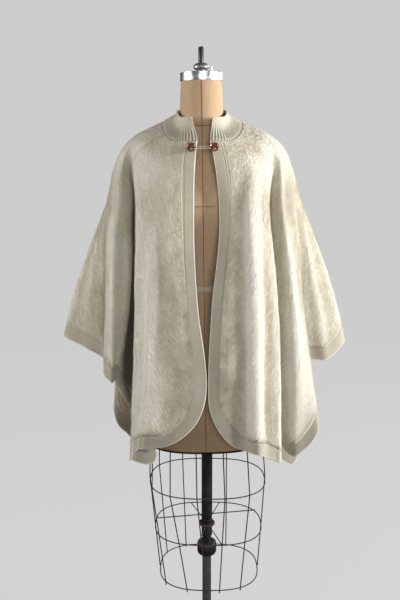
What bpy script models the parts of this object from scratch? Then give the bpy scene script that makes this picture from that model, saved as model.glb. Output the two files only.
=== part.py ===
# A short open cape of brushed wool with a rib-knit collar, resting on a limbless dress form.
# Metres, +Z up. The front faces -Y and the wearer's left is +X.
# The origin is the middle of the form's foot plate, on the floor.

import math

import bpy
import numpy as np
from mathutils import Matrix

MM = 0.001

# Cloth
CLOTH = 0.003
SEAM_GAP = 0.0003
COLLAR_GAP = 0.0006
BAND_WIDTH = 0.033
BAND_WIDTH_TOP = 0.026
BAND_SEAM = 0.0010
CHEST_Z = 1.380
WAIST_Z = 1.120
HIP_Z = 0.985

# Neck seam of the cape: a squared oval that rises from the throat to the nape
NECK_X = -0.0145
NECK_HALF_WIDTH = 0.1025
NECK_FRONT = 0.100
NECK_BACK = 0.078
NECK_SQUARE = 2.5
NECK_THROAT_Z = 1.544
NECK_SIDE_RISE = 0.046
NECK_NAPE_RISE = 0.026

# Collar
RIBS = 76
RIB_HEIGHT = 0.0014
RIM_HALF_WIDTH = 0.0640
RIM_FRONT = 0.0755
RIM_BACK = 0.0680
RIM_SQUARE = 2.3
RIM_FRONT_Z = 1.602
RIM_SIDE_RISE = 0.019
RIM_NAPE_RISE = 0.012
RIM_OPENING = 20.0
COLLAR_ROWS = (0.0, 0.3, 0.66, 1.0)
RIB_DEPTHS = (0.25, 0.6, 1.0, 0.5)

# Rounded front corners: across along the hem and up the front edge
CORNER_RIGHT = (0.125, 0.200)
CORNER_LEFT = (0.105, 0.160)
CORNER_STEPS = 6
ROWS = 15
ROW_CROWDING = 1.25
LEAST_COLUMN = 0.012
# Measuring along the surface: close places to a mark, and the step that gives its slope
CLOSE = 8
SLOPE_STEP = 0.0015
# A band's inner line stays on the collar seam at first, and turns to the hem past the corner
SEAM_KEEP = 0.06
HEM_BLEND = 0.05
LEAST_LEAN = 0.75

# The cape's lines from collar seam to hem, in millimetres, from the wearer's right front edge
# round the back to the left front edge. Each fold's crest or hollow is one line.
# neck: degrees round the collar seam from the throat; steps: columns up to the next line.
FOLD_COLUMNS = (
    "name", "neck", "steps",
    "shoulder_x", "shoulder_y", "shoulder_z", "chest_x", "chest_y", "waist_x", "waist_y",
    "hem_x", "hem_y", "hem_z",
)
FOLDS = (
    ("edge_r", 4, 0, -31, -118, 1500, -34.5, -132, -23, -150, -4, -150, 748),
    ("band_r", 16, 0, -56, -118, 1500, -58.5, -136, -48, -153, -30, -155, 751),
    ("panel_r", 32, 2, -100, -112, 1500, -105, -141, -100, -154, -103, -158, 753),
    ("ridge_r", 46, 3, -140, -95, 1505, -144, -124, -153, -148, -180, -154, 757),
    ("turn_r", 57, 3, -172, -72, 1515, -181, -85, -182, -115, -204, -127, 713),
    ("valley_r", 65, 3, -180, -53, 1526, -179, -36, -179, -60, -147, -104, 742),
    ("wall_r", 71, 3, -186, -44, 1533, -197, -43, -202, -50, -227, -66, 877),
    ("side_ridge_r", 77, 2, -196, -35, 1538, -231, -64, -250, -87, -257, -86, 917),
    ("contour_r", 82, 2, -200, -26, 1540, -250, -50, -271, -60, -278, -70, 933),
    ("nook_r", 87, 2, -203, -16, 1542, -262, -20, -274, -18, -281, -20, 956),
    ("flap_r", 92, 2, -204, -5, 1543, -266, 4, -324, 0, -340, 0, 989),
    ("tip_r", 98, 2, -204, 8, 1543, -271, 30, -371, 30, -400, 30, 1014),
    ("flap_back_r", 106, 2, -201, 25, 1541, -262, 50, -335, 62, -352, 66, 1006),
    ("side_back_r", 115, 2, -199, 40, 1535, -240, 66, -288, 88, -300, 100, 945),
    ("tuck_back_r", 123, 2, -194, 50, 1530, -221, 76, -256, 104, -262, 116, 862),
    ("crest_back_r", 131, 2, -186, 59, 1526, -203, 84, -238, 106, -272, 92, 772),
    ("valley_back_r", 142, 3, -164, 73, 1517, -174, 94, -198, 112, -236, 102, 687),
    ("ridge_back_r", 155, 3, -115, 92, 1512, -120, 114, -135, 156, -140, 170, 642),
    ("hollow_back_r", 168, 3, -62, 101, 1512, -64, 118, -68, 138, -66, 150, 632),
    ("centre_back", 180, 3, -14, 104, 1512, -13, 122, -5, 158, 0, 172, 625),
    ("hollow_back_l", 192, 3, 33, 101, 1512, 38, 118, 52, 138, 66, 150, 620),
    ("ridge_back_l", 205, 3, 86, 92, 1512, 94, 114, 120, 156, 138, 168, 620),
    ("valley_back_l", 218, 2, 136, 73, 1517, 148, 94, 182, 112, 212, 102, 618),
    ("crest_back_l", 229, 2, 157, 59, 1526, 176, 84, 218, 106, 274, 108, 614),
    ("tuck_back_l", 237, 2, 164, 50, 1532, 195, 76, 238, 108, 290, 120, 750),
    ("side_back_l", 245, 2, 169, 40, 1540, 216, 66, 268, 90, 302, 100, 900),
    ("flap_back_l", 254, 2, 173, 25, 1546, 240, 50, 316, 62, 338, 66, 988),
    ("tip_l", 262, 2, 173, 8, 1552, 253, 30, 353, 30, 384, 30, 1002),
    ("flap_l", 268, 2, 173, -5, 1552, 243, 4, 302, 0, 333, 0, 955),
    ("nook_l", 273, 3, 171, -16, 1550, 228, -14, 258, -14, 275, -8, 938),
    ("contour_l", 279, 2, 168, -28, 1546, 209, -45, 247, -60, 303, -70, 775),
    ("middle_l", 285, 2, 163, -40, 1540, 191, -60, 221, -88, 246, -75, 704),
    ("valley_l", 292, 2, 151, -54, 1528, 154, -42, 171, -58, 196, -68, 735),
    ("turn_l", 301, 3, 143, -70, 1515, 153, -92, 178, -110, 196, -125, 708),
    ("dip_l", 311, 2, 126, -84, 1508, 132, -124, 148, -136, 161, -146, 726),
    ("ridge_l", 321, 2, 103, -100, 1502, 106, -143, 116, -158, 131, -163, 747),
    ("hollow_l", 333, 2, 70, -110, 1500, 72, -132, 62, -147, 65, -148, 744),
    ("band_l", 344, 0, 40, -117, 1500, 50, -136, 32, -153, 29, -155, 751),
    ("edge_l", 353, 0, 14, -118, 1500, 27, -132, 8, -150, 4, -150, 748),
)
# The front edges close up again below the waist: name, x, y at hip height.
HIP_COLUMNS = ("name", "x", "y")
HIPS = (
    ("edge_r", -5, -152),
    ("band_r", -31, -155),
    ("band_l", 27, -155),
    ("edge_l", 1.5, -152),
)

# Buttons and closure loop
BUTTON_RADIUS = 0.012
BUTTON_THICK = 0.0062
SHANK_RADIUS = 0.0016
SHANK_LENGTH = 0.0034
BUTTON_INSET_RIGHT = 0.0140
BUTTON_INSET_LEFT = 0.0062
BUTTON_DROP = 0.0190
LOOP_RADIUS = 0.00125
LOOP_PINCH = 0.0022
LOOP_CLEAR = 0.0004

# Dress form, upright about x = 0 and then leant over on its post
LEAN = math.radians(-0.76)
LEAN_Z = 0.454
RIM_THICK = 0.0055
RIM_OUT = 0.0015
TORSO_SIDES = 32
TORSO_COLUMNS = ("z", "half_width", "front", "back", "square")
TORSO = (
    (0.7340, 0.1640, 0.1215, 0.1180, 2.6),
    (0.8000, 0.1710, 0.1240, 0.1240, 2.5),
    (0.9000, 0.1760, 0.1220, 0.1290, 2.4),
    (0.9700, 0.1740, 0.1190, 0.1290, 2.4),
    (1.0500, 0.1580, 0.1100, 0.1170, 2.3),
    (1.1200, 0.1360, 0.1000, 0.1000, 2.2),
    (1.1800, 0.1250, 0.0960, 0.0880, 2.2),
    (1.2400, 0.1300, 0.1010, 0.0870, 2.2),
    (1.3100, 0.1430, 0.1110, 0.0910, 2.2),
    (1.3800, 0.1530, 0.1200, 0.0950, 2.2),
    (1.4300, 0.1570, 0.1110, 0.0970, 2.2),
    (1.4700, 0.1640, 0.0980, 0.0950, 2.2),
    (1.5000, 0.1740, 0.0860, 0.0880, 2.2),
    (1.5200, 0.1770, 0.0760, 0.0780, 2.2),
    (1.5350, 0.1730, 0.0690, 0.0690, 2.2),
    (1.5484, 0.1595, 0.0640, 0.0630, 2.2),
    (1.5604, 0.1375, 0.0610, 0.0590, 2.2),
    (1.5700, 0.1100, 0.0590, 0.0570, 2.2),
    (1.5790, 0.0825, 0.0560, 0.0545, 2.1),
    (1.5880, 0.0645, 0.0548, 0.0538, 2.0),
    (1.6000, 0.0560, 0.0538, 0.0532, 2.0),
    (1.6200, 0.0550, 0.0540, 0.0535, 2.0),
    (1.6550, 0.0535, 0.0525, 0.0525, 2.0),
    (1.6905, 0.0515, 0.0515, 0.0515, 2.0),
)

# Cap, nut and rod on the neck
CAP_RADIUS = 0.0537
CAP_HEIGHT = 0.0212
CAP_DOME = 0.0012
NUT_RADIUS = 0.0200
NUT_HEIGHT = 0.0215
ROD_RADIUS = 0.0070
ROD_TOP_Z = 1.7740
PIN_X = 0.0265
PIN_RADIUS = 0.0016
PIN_HEIGHT = 0.0130

# Skirt cage: superellipse hoops
HOOP_SQUARE = 2.65
HOOP_RADIUS = 0.0016
HOOP_COLUMNS = ("name", "z", "x", "half_width", "half_depth")
HOOPS = (
    ("hoop_top", 0.5980, 0.0014, 0.1637, 0.1246),
    ("hoop_middle", 0.4542, 0.0040, 0.1534, 0.1187),
    ("hoop_bottom", 0.3114, 0.0060, 0.1428, 0.1160),
)
# Upright wires: side of the hoop's middle (-1 front, 1 back), and x over half the hoop's width
# at the top hoop and at the bottom one.
WIRE_COLUMNS = ("name", "side", "top", "bottom")
WIRES = (
    ("wire_front_1", -1, -0.62, -0.43),
    ("wire_front_2", -1, -0.18, -0.065),
    ("wire_front_3", -1, 0.28, 0.20),
    ("wire_front_4", -1, 0.69, 0.605),
    ("wire_right_front", -1, -0.930, -0.845),
    ("wire_right", 1, -0.9985, -0.9985),
    ("wire_right_back", 1, -0.86, -0.87),
    ("wire_back_1", 1, -0.45, -0.48),
    ("wire_back_2", 1, 0.36, 0.38),
    ("wire_left", 1, 0.9985, 0.9985),
)
# The uprights' heads stand a little to the wearer's right under the hip rim
HEAD_IN = (0.955, 0.93, 1.0)
HEAD_SHIFT = -0.0035
FOOT_DROP = 0.006
BRACE_LEFT_Y = 0.066
BRACE_RIGHT_Y = 0.019
ARM_COLUMNS = ("name", "side", "x")
ARMS = (
    ("brace_arm_1", 1, -0.047),
    ("brace_arm_2", 1, 0.039),
    ("brace_arm_3", -1, -0.026),
    ("brace_arm_4", -1, 0.041),
)

# Post and foot
SLEEVE_RADIUS = 0.0155
SLEEVE_BOTTOM_Z = 0.4170
RING_RADIUS = 0.0230
RING_THICK = 0.0045
RING_CLEAR = 0.0004
COLLAR_RADIUS = 0.0280
COLLAR_BOTTOM_Z = 0.3560
COLLAR_TOP_Z = 0.3950
POLE_RADIUS = 0.0130
FOOT_RADIUS = 0.2200
FOOT_EDGE = 0.0120
FOOT_BOSS_RADIUS = 0.0340
FOOT_BOSS_TOP = 0.0560

SIDES = 24


def rows_of(columns, rows):
    return [dict(zip(columns, row)) for row in rows]


def signed_power(value, power):
    return np.sign(value) * np.abs(value) ** power


def smooth(value):
    t = np.clip(value, 0.0, 1.0)
    return t * t * (3 - 2 * t)


# Curves through points

def slopes(knots, values):
    """Slope at each knot: the two neighbouring rises, the nearer one counting more."""
    step = np.diff(knots).reshape(-1, *[1] * (values.ndim - 1))
    rise = np.diff(values, axis=0) / step
    inner = (rise[:-1] * step[1:] + rise[1:] * step[:-1]) / (step[1:] + step[:-1])
    first = 1.5 * rise[:1] - 0.5 * inner[:1]
    last = 1.5 * rise[-1:] - 0.5 * inner[-1:]
    return np.concatenate([first, inner, last])


def through(knots, values, at):
    """Smooth curve through values at knots, read at the places in at.

    values holds a point for each knot, or for each knot a point for each place.
    """
    low = np.clip(np.searchsorted(knots, at, side="right") - 1, 0, len(knots) - 2)
    size = (knots[low + 1] - knots[low])[:, None]
    t = (at - knots[low])[:, None] / size
    slope = slopes(knots, values)
    if values.ndim == 3:
        column = np.arange(len(at))
        start, end = values[low, column], values[low + 1, column]
        out, into = slope[low, column], slope[low + 1, column]
    else:
        start, end, out, into = values[low], values[low + 1], slope[low], slope[low + 1]
    return (
        (2 * t**3 - 3 * t**2 + 1) * start
        + (t**3 - 2 * t**2 + t) * size * out
        + (3 * t**2 - 2 * t**3) * end
        + (t**3 - t**2) * size * into
    )


# Cape surface: girth runs round the cape in metres of waist, fall runs from collar seam to hem

def neck_point(degrees):
    angle = math.radians(degrees)
    turn = 180 - abs(180 - degrees)
    side = signed_power(math.sin(angle), 2 / NECK_SQUARE)
    front = signed_power(math.cos(angle), 2 / NECK_SQUARE)
    depth = NECK_FRONT if front > 0 else NECK_BACK
    z = NECK_THROAT_Z + NECK_SIDE_RISE * smooth((turn - 30) / 75)
    z += NECK_NAPE_RISE * smooth((turn - 80) / 100)
    return (NECK_X - NECK_HALF_WIDTH * side, -depth * front, z)


def fold_line(row, hips):
    points = [neck_point(row["neck"])]
    points.append([row["shoulder_x"] * MM, row["shoulder_y"] * MM, row["shoulder_z"] * MM])
    points.append([row["chest_x"] * MM, row["chest_y"] * MM, CHEST_Z])
    points.append([row["waist_x"] * MM, row["waist_y"] * MM, WAIST_Z])
    if row["name"] in hips:
        hip = hips[row["name"]]
        points.append([hip["x"] * MM, hip["y"] * MM, HIP_Z])
    points.append([row["hem_x"] * MM, row["hem_y"] * MM, row["hem_z"] * MM])
    points = np.array(points, float)
    length = np.concatenate([[0.0], np.linalg.norm(np.diff(points, axis=0), axis=1).cumsum()])
    return length / length[-1], points, length[-1]


FOLD_ROWS = rows_of(FOLD_COLUMNS, FOLDS)
HIP_ROWS = {row["name"]: row for row in rows_of(HIP_COLUMNS, HIPS)}
FOLD_LINES = [fold_line(row, HIP_ROWS) for row in FOLD_ROWS]
DOWN = (np.arange(ROWS + 1) / ROWS) ** ROW_CROWDING
WAIST_POINTS = np.array([[row["waist_x"] * MM, row["waist_y"] * MM] for row in FOLD_ROWS])
GIRTH = np.concatenate([[0.0], np.linalg.norm(np.diff(WAIST_POINTS, axis=0), axis=1).cumsum()])
PLACE = {row["name"]: girth for row, girth in zip(FOLD_ROWS, GIRTH)}


def cape_point(girth, fall):
    lines = np.stack([through(knots, points, fall) for knots, points, _ in FOLD_LINES])
    return through(GIRTH, lines, girth)


def cape_frame(girth, fall):
    """Outer point, direction along the girth, direction down the cape, outward normal."""
    ahead, behind = cape_point(girth + SLOPE_STEP, fall), cape_point(girth - SLOPE_STEP, fall)
    below, above = cape_point(girth, fall + SLOPE_STEP), cape_point(girth, fall - SLOPE_STEP)
    round_ = (ahead - behind) / (2 * SLOPE_STEP)
    down = (below - above) / (2 * SLOPE_STEP)
    normal = np.cross(round_, down)
    normal /= np.linalg.norm(normal, axis=1)[:, None]
    return cape_point(girth, fall), round_, down, normal


def cape_wall(girth, fall):
    """Outer and inner grid of a piece of the cape."""
    shape = girth.shape
    point, _, _, normal = cape_frame(girth.ravel(), fall.ravel())
    return point.reshape(*shape, 3), (point - CLOTH * normal).reshape(*shape, 3)


def moved_in(girth, fall, distance, keep_fall, keep_girth):
    """Places moved in from a free edge, square to it, over the surface.

    girth and fall follow the edge closely. keep_fall and keep_girth, 0 to 1, hold a place on
    the collar seam, or straight above its own place on the hem.
    """
    _, round_, down, normal = cape_frame(girth, fall)
    along = round_ * np.gradient(girth)[:, None] + down * np.gradient(fall)[:, None]
    inward = np.cross(normal, along)
    inward /= np.linalg.norm(inward, axis=1)[:, None]
    matrix = np.stack([round_, down], axis=2)
    square = np.einsum("nij,nj->ni", np.linalg.pinv(matrix), inward) * np.reshape(distance, (-1, 1))
    down_length = np.linalg.norm(down, axis=1)
    lean = np.abs(np.sum(inward * down, axis=1)) / down_length
    above = -np.abs(distance) / down_length / np.clip(lean, LEAST_LEAN, 1.0)
    moved_girth = girth + square[:, 0] * (1 - keep_girth)
    change = square[:, 1] * (1 - keep_girth) + above * keep_girth
    return moved_girth, fall + change * (1 - keep_fall)


def girth_steps(first, last):
    """Places round the cape from one line to another, with each line's own number of steps."""
    names = [row["name"] for row in FOLD_ROWS]
    low, high = names.index(first), names.index(last)
    found = [GIRTH[low]]
    for index in range(low, high):
        count = max(1, FOLD_ROWS[index]["steps"])
        found.extend(np.linspace(GIRTH[index], GIRTH[index + 1], count + 1)[1:])
    return np.array(found)


def close_places(knots, count):
    """Close places along a list of marks, and the numbers of the marks among them."""
    marks = np.arange(len(knots)) * count
    return np.interp(np.arange(marks[-1] + 1), marks, knots), marks


def front_edge(mirror, side_line, corner):
    """Free edge of one front, from the collar seam down, round the corner and along the hem.

    Returns closely set places, and which of them are the columns and rows of the pieces.
    """
    length = FOLD_LINES[-1 if mirror else 0][2]
    across, up = corner[0], corner[1] / length
    down, down_marks = close_places(DOWN * (1 - up), CLOSE)
    turn, turn_marks = close_places(np.linspace(0, math.pi / 2, CORNER_STEPS + 1), CLOSE)
    if mirror:
        hem = GIRTH[-1] - girth_steps(side_line, "edge_l")[::-1]
    else:
        hem = girth_steps("edge_r", side_line)
    hem = np.concatenate([[across], hem[hem > across + LEAST_COLUMN]])
    hem, hem_marks = close_places(hem, CLOSE)
    girth = np.concatenate([np.zeros(len(down)), across * (1 - np.cos(turn[1:])), hem[1:]])
    fall = np.concatenate([down, 1 - up * (1 - np.sin(turn[1:])), np.ones(len(hem) - 1)])
    marks = np.concatenate(
        [down_marks, down_marks[-1] + turn_marks[1:], down_marks[-1] + turn_marks[-1] + hem_marks[1:]]
    )
    if mirror:
        girth = GIRTH[-1] - girth
    return girth, fall, marks


def at_side(fall, line, gap):
    """Girth of the side line, held off it by half a seam gap at every place down it."""
    place = np.full(len(fall), PLACE[line])
    _, round_, _, _ = cape_frame(place, fall)
    return place + gap / np.linalg.norm(round_, axis=1)


def side_fall(line, distance):
    """Fall of the place on a side line that is this far above the hem."""
    names = [row["name"] for row in FOLD_ROWS]
    return 1 - distance / FOLD_LINES[names.index(line)][2]


def inner_edge(girth, fall, side_line, across, distance):
    """Line a distance in from a front's free edge, held on the collar seam and the side line."""
    keep_fall = 1 - smooth(fall / SEAM_KEEP)
    start = GIRTH[-1] if side_line == "tip_l" else GIRTH[0]
    keep_girth = smooth((np.abs(girth - start) - across) / HEM_BLEND)
    sign = 1 if side_line == "tip_l" else -1
    inner_girth, inner_fall = moved_in(girth, fall, sign * distance, keep_fall, keep_girth)
    inner_fall[-1] = side_fall(side_line, distance[-1])
    return inner_girth, inner_fall


def blend_patch(left, right, top, bottom):
    """Grid of places between four edges, each an array of (girth, fall)."""
    across = (top[:, 0] - top[0, 0]) / (top[-1, 0] - top[0, 0])
    u, w = across[None, :, None], DOWN[:, None, None]
    sides = (1 - u) * left[:, None] + u * right[:, None]
    ends = (1 - w) * top[None] + w * bottom[None]
    corners = (1 - u) * (1 - w) * top[0] + u * (1 - w) * top[-1]
    corners = corners + (1 - u) * w * bottom[0] + u * w * bottom[-1]
    return sides + ends - corners


# Meshes

def material(name, colour, roughness, metallic=0.0):
    made = bpy.data.materials.new(name)
    made.use_nodes = True
    shader = made.node_tree.nodes["Principled BSDF"]
    shader.inputs["Base Color"].default_value = (*colour, 1.0)
    shader.inputs["Roughness"].default_value = roughness
    shader.inputs["Metallic"].default_value = metallic
    made.diffuse_color = (*colour, 1.0)
    return made


def add_object(name, data, finish):
    piece = bpy.data.objects.new(name, data)
    bpy.context.scene.collection.objects.link(piece)
    data.materials.append(finish)
    return piece


def mesh_object(name, points, faces, finish):
    mesh = bpy.data.meshes.new(name)
    mesh.from_pydata([tuple(point) for point in points], [], [tuple(face) for face in faces])
    mesh.validate()
    mesh.shade_smooth()
    mesh.set_sharp_from_angle(angle=math.radians(50))
    return add_object(name, mesh, finish)


def strip_faces(first, second):
    """Faces between two rows of vertex numbers, seen from outside."""
    return [
        (first[i], second[i], second[i + 1], first[i + 1]) for i in range(len(first) - 1)
    ]


def border_faces(outer_row, inner_row, below):
    """Triangles closing a wall between its two rims; two walls that meet split alike."""
    faces = []
    for i in range(len(outer_row) - 1):
        pair = [
            (outer_row[i], outer_row[i + 1], inner_row[i + 1]),
            (outer_row[i], inner_row[i + 1], inner_row[i]),
        ]
        faces += [face[::-1] for face in pair] if below else pair
    return faces


def shell_object(name, outer, inner, finish, from_left=False):
    """Closed wall between an outer and an inner grid; rows run down and columns round.

    from_left splits the upper and lower rims the other way, as the left band's rim is split.
    """
    rows, columns = outer.shape[:2]
    numbers = np.arange(rows * columns).reshape(rows, columns)
    within = numbers + rows * columns
    faces = []
    for i in range(rows - 1):
        faces += strip_faces(numbers[i, ::-1], numbers[i + 1, ::-1])
        faces += strip_faces(within[i], within[i + 1])
    order = slice(None, None, -1 if from_left else 1)
    faces += border_faces(numbers[0, order], within[0, order], not from_left)
    faces += border_faces(numbers[-1, order], within[-1, order], from_left)
    faces += border_faces(numbers[:, 0], within[:, 0], False)
    faces += border_faces(numbers[:, -1], within[:, -1], True)
    points = np.concatenate([outer.reshape(-1, 3), inner.reshape(-1, 3)])
    return mesh_object(name, points, faces, finish)


def loft_object(name, rings, finish, matrix=None):
    """Solid through closed rings from the bottom up, closed by a flat face at each end."""
    count, sides = rings.shape[:2]
    numbers = np.arange(count * sides).reshape(count, sides)
    closed = np.concatenate([numbers, numbers[:, :1]], axis=1)
    faces = [tuple(numbers[0, ::-1]), tuple(numbers[-1])]
    for i in range(count - 1):
        faces += strip_faces(closed[i + 1], closed[i])
    piece = mesh_object(name, rings.reshape(-1, 3), faces, finish)
    if matrix is not None:
        piece.data.transform(matrix)
    return piece


def turned_rings(profile, sides=SIDES):
    """Rings of a turned solid about the Z axis; the profile is (radius, z) from the bottom up."""
    angle = np.arange(sides) * 2 * math.pi / sides
    circle = np.stack([np.cos(angle), np.sin(angle)], axis=1)
    rings = [
        np.column_stack([circle * radius, np.full(sides, height)]) for radius, height in profile
    ]
    return np.array(rings)


def oval(half_width, front, back, square, sides):
    angle = np.arange(sides) * 2 * math.pi / sides
    x = half_width * signed_power(np.cos(angle), 2 / square)
    y = signed_power(np.sin(angle), 2 / square)
    return x, np.where(y < 0, front * y, back * y)


def rod_object(name, points, radius, finish, closed=False, fineness=1):
    """Round rod along a list of points, as a curve with a bevel."""
    curve = bpy.data.curves.new(name, "CURVE")
    curve.dimensions = "3D"
    curve.bevel_depth = radius
    curve.bevel_resolution = fineness
    curve.use_fill_caps = not closed
    spline = curve.splines.new("POLY")
    spline.points.add(len(points) - 1)
    spline.points.foreach_set("co", np.column_stack([points, np.ones(len(points))]).ravel())
    spline.use_cyclic_u = closed
    return add_object(name, curve, finish)


# Cape pieces

def front_pieces(word, mirror, corner, wool, knit):
    side_line = "tip_l" if mirror else "tip_r"
    girth, fall, marks = front_edge(mirror, side_line, corner)
    straight = ROWS + 1
    half_gap = SEAM_GAP / 2 if mirror else -SEAM_GAP / 2

    # The band is the strip between the free edge and a line one band width in from it.
    width = BAND_WIDTH_TOP + (BAND_WIDTH - BAND_WIDTH_TOP) * smooth((fall - 0.4) / 0.4)
    lines = [(girth, fall)]
    lines += [inner_edge(girth, fall, side_line, corner[0], part) for part in (width / 2, width)]
    band_girth = np.array([line[0][marks] for line in lines])
    band_fall = np.array([line[1][marks] for line in lines])
    band_girth[:, -1] = at_side(band_fall[:, -1], side_line, half_gap)
    outer, inner = cape_wall(band_girth, band_fall)
    if mirror:
        outer, inner = outer[::-1], inner[::-1]
    shell_object("band_front_" + word, outer[::-1], inner[::-1], knit)

    # The panel fills the rest, from the band to the side line.
    panel_in = inner_edge(girth, fall, side_line, corner[0], width + BAND_SEAM)
    edge = np.stack(panel_in, axis=1)[marks]
    left, bottom = edge[:straight].copy(), edge[straight - 1:].copy()
    left[0, 1] = 0.0
    top_girth = bottom[:, 0].copy()
    reach = CORNER_STEPS + 1
    top_girth[:reach] = np.linspace(left[0, 0], top_girth[reach - 1], reach)
    top = np.stack([top_girth, np.zeros(len(top_girth))], axis=1)
    right_fall = DOWN * bottom[-1, 1]
    right = np.stack([at_side(right_fall, side_line, half_gap), right_fall], axis=1)
    top[-1], bottom[-1] = right[0], right[-1]
    grid = blend_patch(left, right, top, bottom)
    if mirror:
        grid = grid[:, ::-1]
    outer, inner = cape_wall(grid[..., 0], grid[..., 1])
    shell_object("front_" + word, outer, inner, wool, mirror)


def back_pieces(wool, knit):
    places = girth_steps("tip_r", "tip_l")
    close, marks = close_places(places, CLOSE)
    hem = np.ones(len(close))
    half_gap = SEAM_GAP / 2

    def line_above_hem(distance):
        if distance == 0:
            return places.copy(), hem[marks]
        girth, fall = moved_in(close, hem, -distance, np.zeros(len(close)), hem)
        girth, fall = girth[marks], fall[marks]
        fall[0] = side_fall("tip_r", distance)
        fall[-1] = side_fall("tip_l", distance)
        girth[0] = at_side(fall[:1], "tip_r", half_gap)[0]
        girth[-1] = at_side(fall[-1:], "tip_l", -half_gap)[0]
        return girth, fall

    lines = [line_above_hem(width) for width in (BAND_WIDTH, BAND_WIDTH / 2, 0.0)]
    band_girth = np.array([line[0] for line in lines])
    band_fall = np.array([line[1] for line in lines])
    shell_object("band_back", *cape_wall(band_girth, band_fall), knit)

    bottom = np.stack(line_above_hem(BAND_WIDTH + BAND_SEAM), axis=1)
    left_fall, right_fall = DOWN * bottom[0, 1], DOWN * bottom[-1, 1]
    left = np.stack([at_side(left_fall, "tip_r", half_gap), left_fall], axis=1)
    right = np.stack([at_side(right_fall, "tip_l", -half_gap), right_fall], axis=1)
    top = np.stack([places, np.zeros(len(places))], axis=1)
    top[0], top[-1], bottom[0], bottom[-1] = left[0], right[0], left[-1], right[-1]
    grid = blend_patch(left, right, top, bottom)
    shell_object("back", *cape_wall(grid[..., 0], grid[..., 1]), wool)


def rim_point(turn):
    """Collar rim at a share of the way round, 0 at the right front end and 1 at the left."""
    degrees = RIM_OPENING + turn * (360 - 2 * RIM_OPENING)
    angle = np.radians(degrees)
    half_turn = 180 - np.abs(180 - degrees)
    side = signed_power(np.sin(angle), 2 / RIM_SQUARE)
    front = signed_power(np.cos(angle), 2 / RIM_SQUARE)
    y = np.where(front > 0, -RIM_FRONT * front, -RIM_BACK * front)
    z = RIM_FRONT_Z + RIM_SIDE_RISE * smooth((half_turn - 50) / 55)
    z = z + RIM_NAPE_RISE * smooth((half_turn - 100) / 80)
    return np.stack([NECK_X - RIM_HALF_WIDTH * side, y, z], axis=-1)


def collar_piece(knit):
    """Ribbed stand collar: it leaves the cape along the shoulder and turns up to its rim."""
    fine = np.linspace(0, GIRTH[-1], 600)
    seam = cape_point(fine, np.zeros(len(fine)))
    walked = np.concatenate([[0], np.linalg.norm(np.diff(seam, axis=0), axis=1).cumsum()])
    columns = 2 * RIBS + 1
    share = np.linspace(0, 1, columns)
    girth = np.interp(share * walked[-1], walked, fine)
    base, round_, _, normal = cape_frame(girth, np.zeros(columns))
    up = np.cross(round_, normal)
    up /= np.linalg.norm(up, axis=1)[:, None]
    base = base + COLLAR_GAP * up
    rim = rim_point(share)
    reach = np.linalg.norm(rim - base, axis=1)[:, None]
    leaving = up * reach * 0.9
    arriving = np.array([0.0, 0.0, 1.0]) * reach * 0.9
    outer = []
    for t in COLLAR_ROWS:
        outer.append(
            (2 * t**3 - 3 * t**2 + 1) * base
            + (t**3 - 2 * t**2 + t) * leaving
            + (3 * t**2 - 2 * t**3) * rim
            + (t**3 - t**2) * arriving
        )
    outer = np.array(outer[::-1])
    rise = np.gradient(outer, axis=0)
    facing = np.cross(np.gradient(outer, axis=1), rise)
    facing /= np.linalg.norm(facing, axis=2)[..., None]
    facing[-1] = normal
    inner = outer - CLOTH * facing
    ribs = np.arange(columns) % 2 * RIB_HEIGHT
    depth = np.array(RIB_DEPTHS)[:, None, None]
    outer = outer + facing * ribs[None, :, None] * depth
    shell_object("collar", outer, inner, knit)


def button_places():
    """Middle of each button's seat on the band, and the way that it faces."""
    seats = []
    for inset in (BUTTON_INSET_RIGHT, -BUTTON_INSET_LEFT):
        start = 0.0 if inset > 0 else GIRTH[-1]
        line = FOLD_LINES[0 if inset > 0 else -1]
        fall = np.array([BUTTON_DROP / line[2]])
        _, round_, _, _ = cape_frame(np.array([start]), fall)
        girth = np.array([start + inset / np.linalg.norm(round_)])
        point, _, _, normal = cape_frame(girth, fall)
        seats.append((point[0], normal[0]))
    return seats


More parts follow.
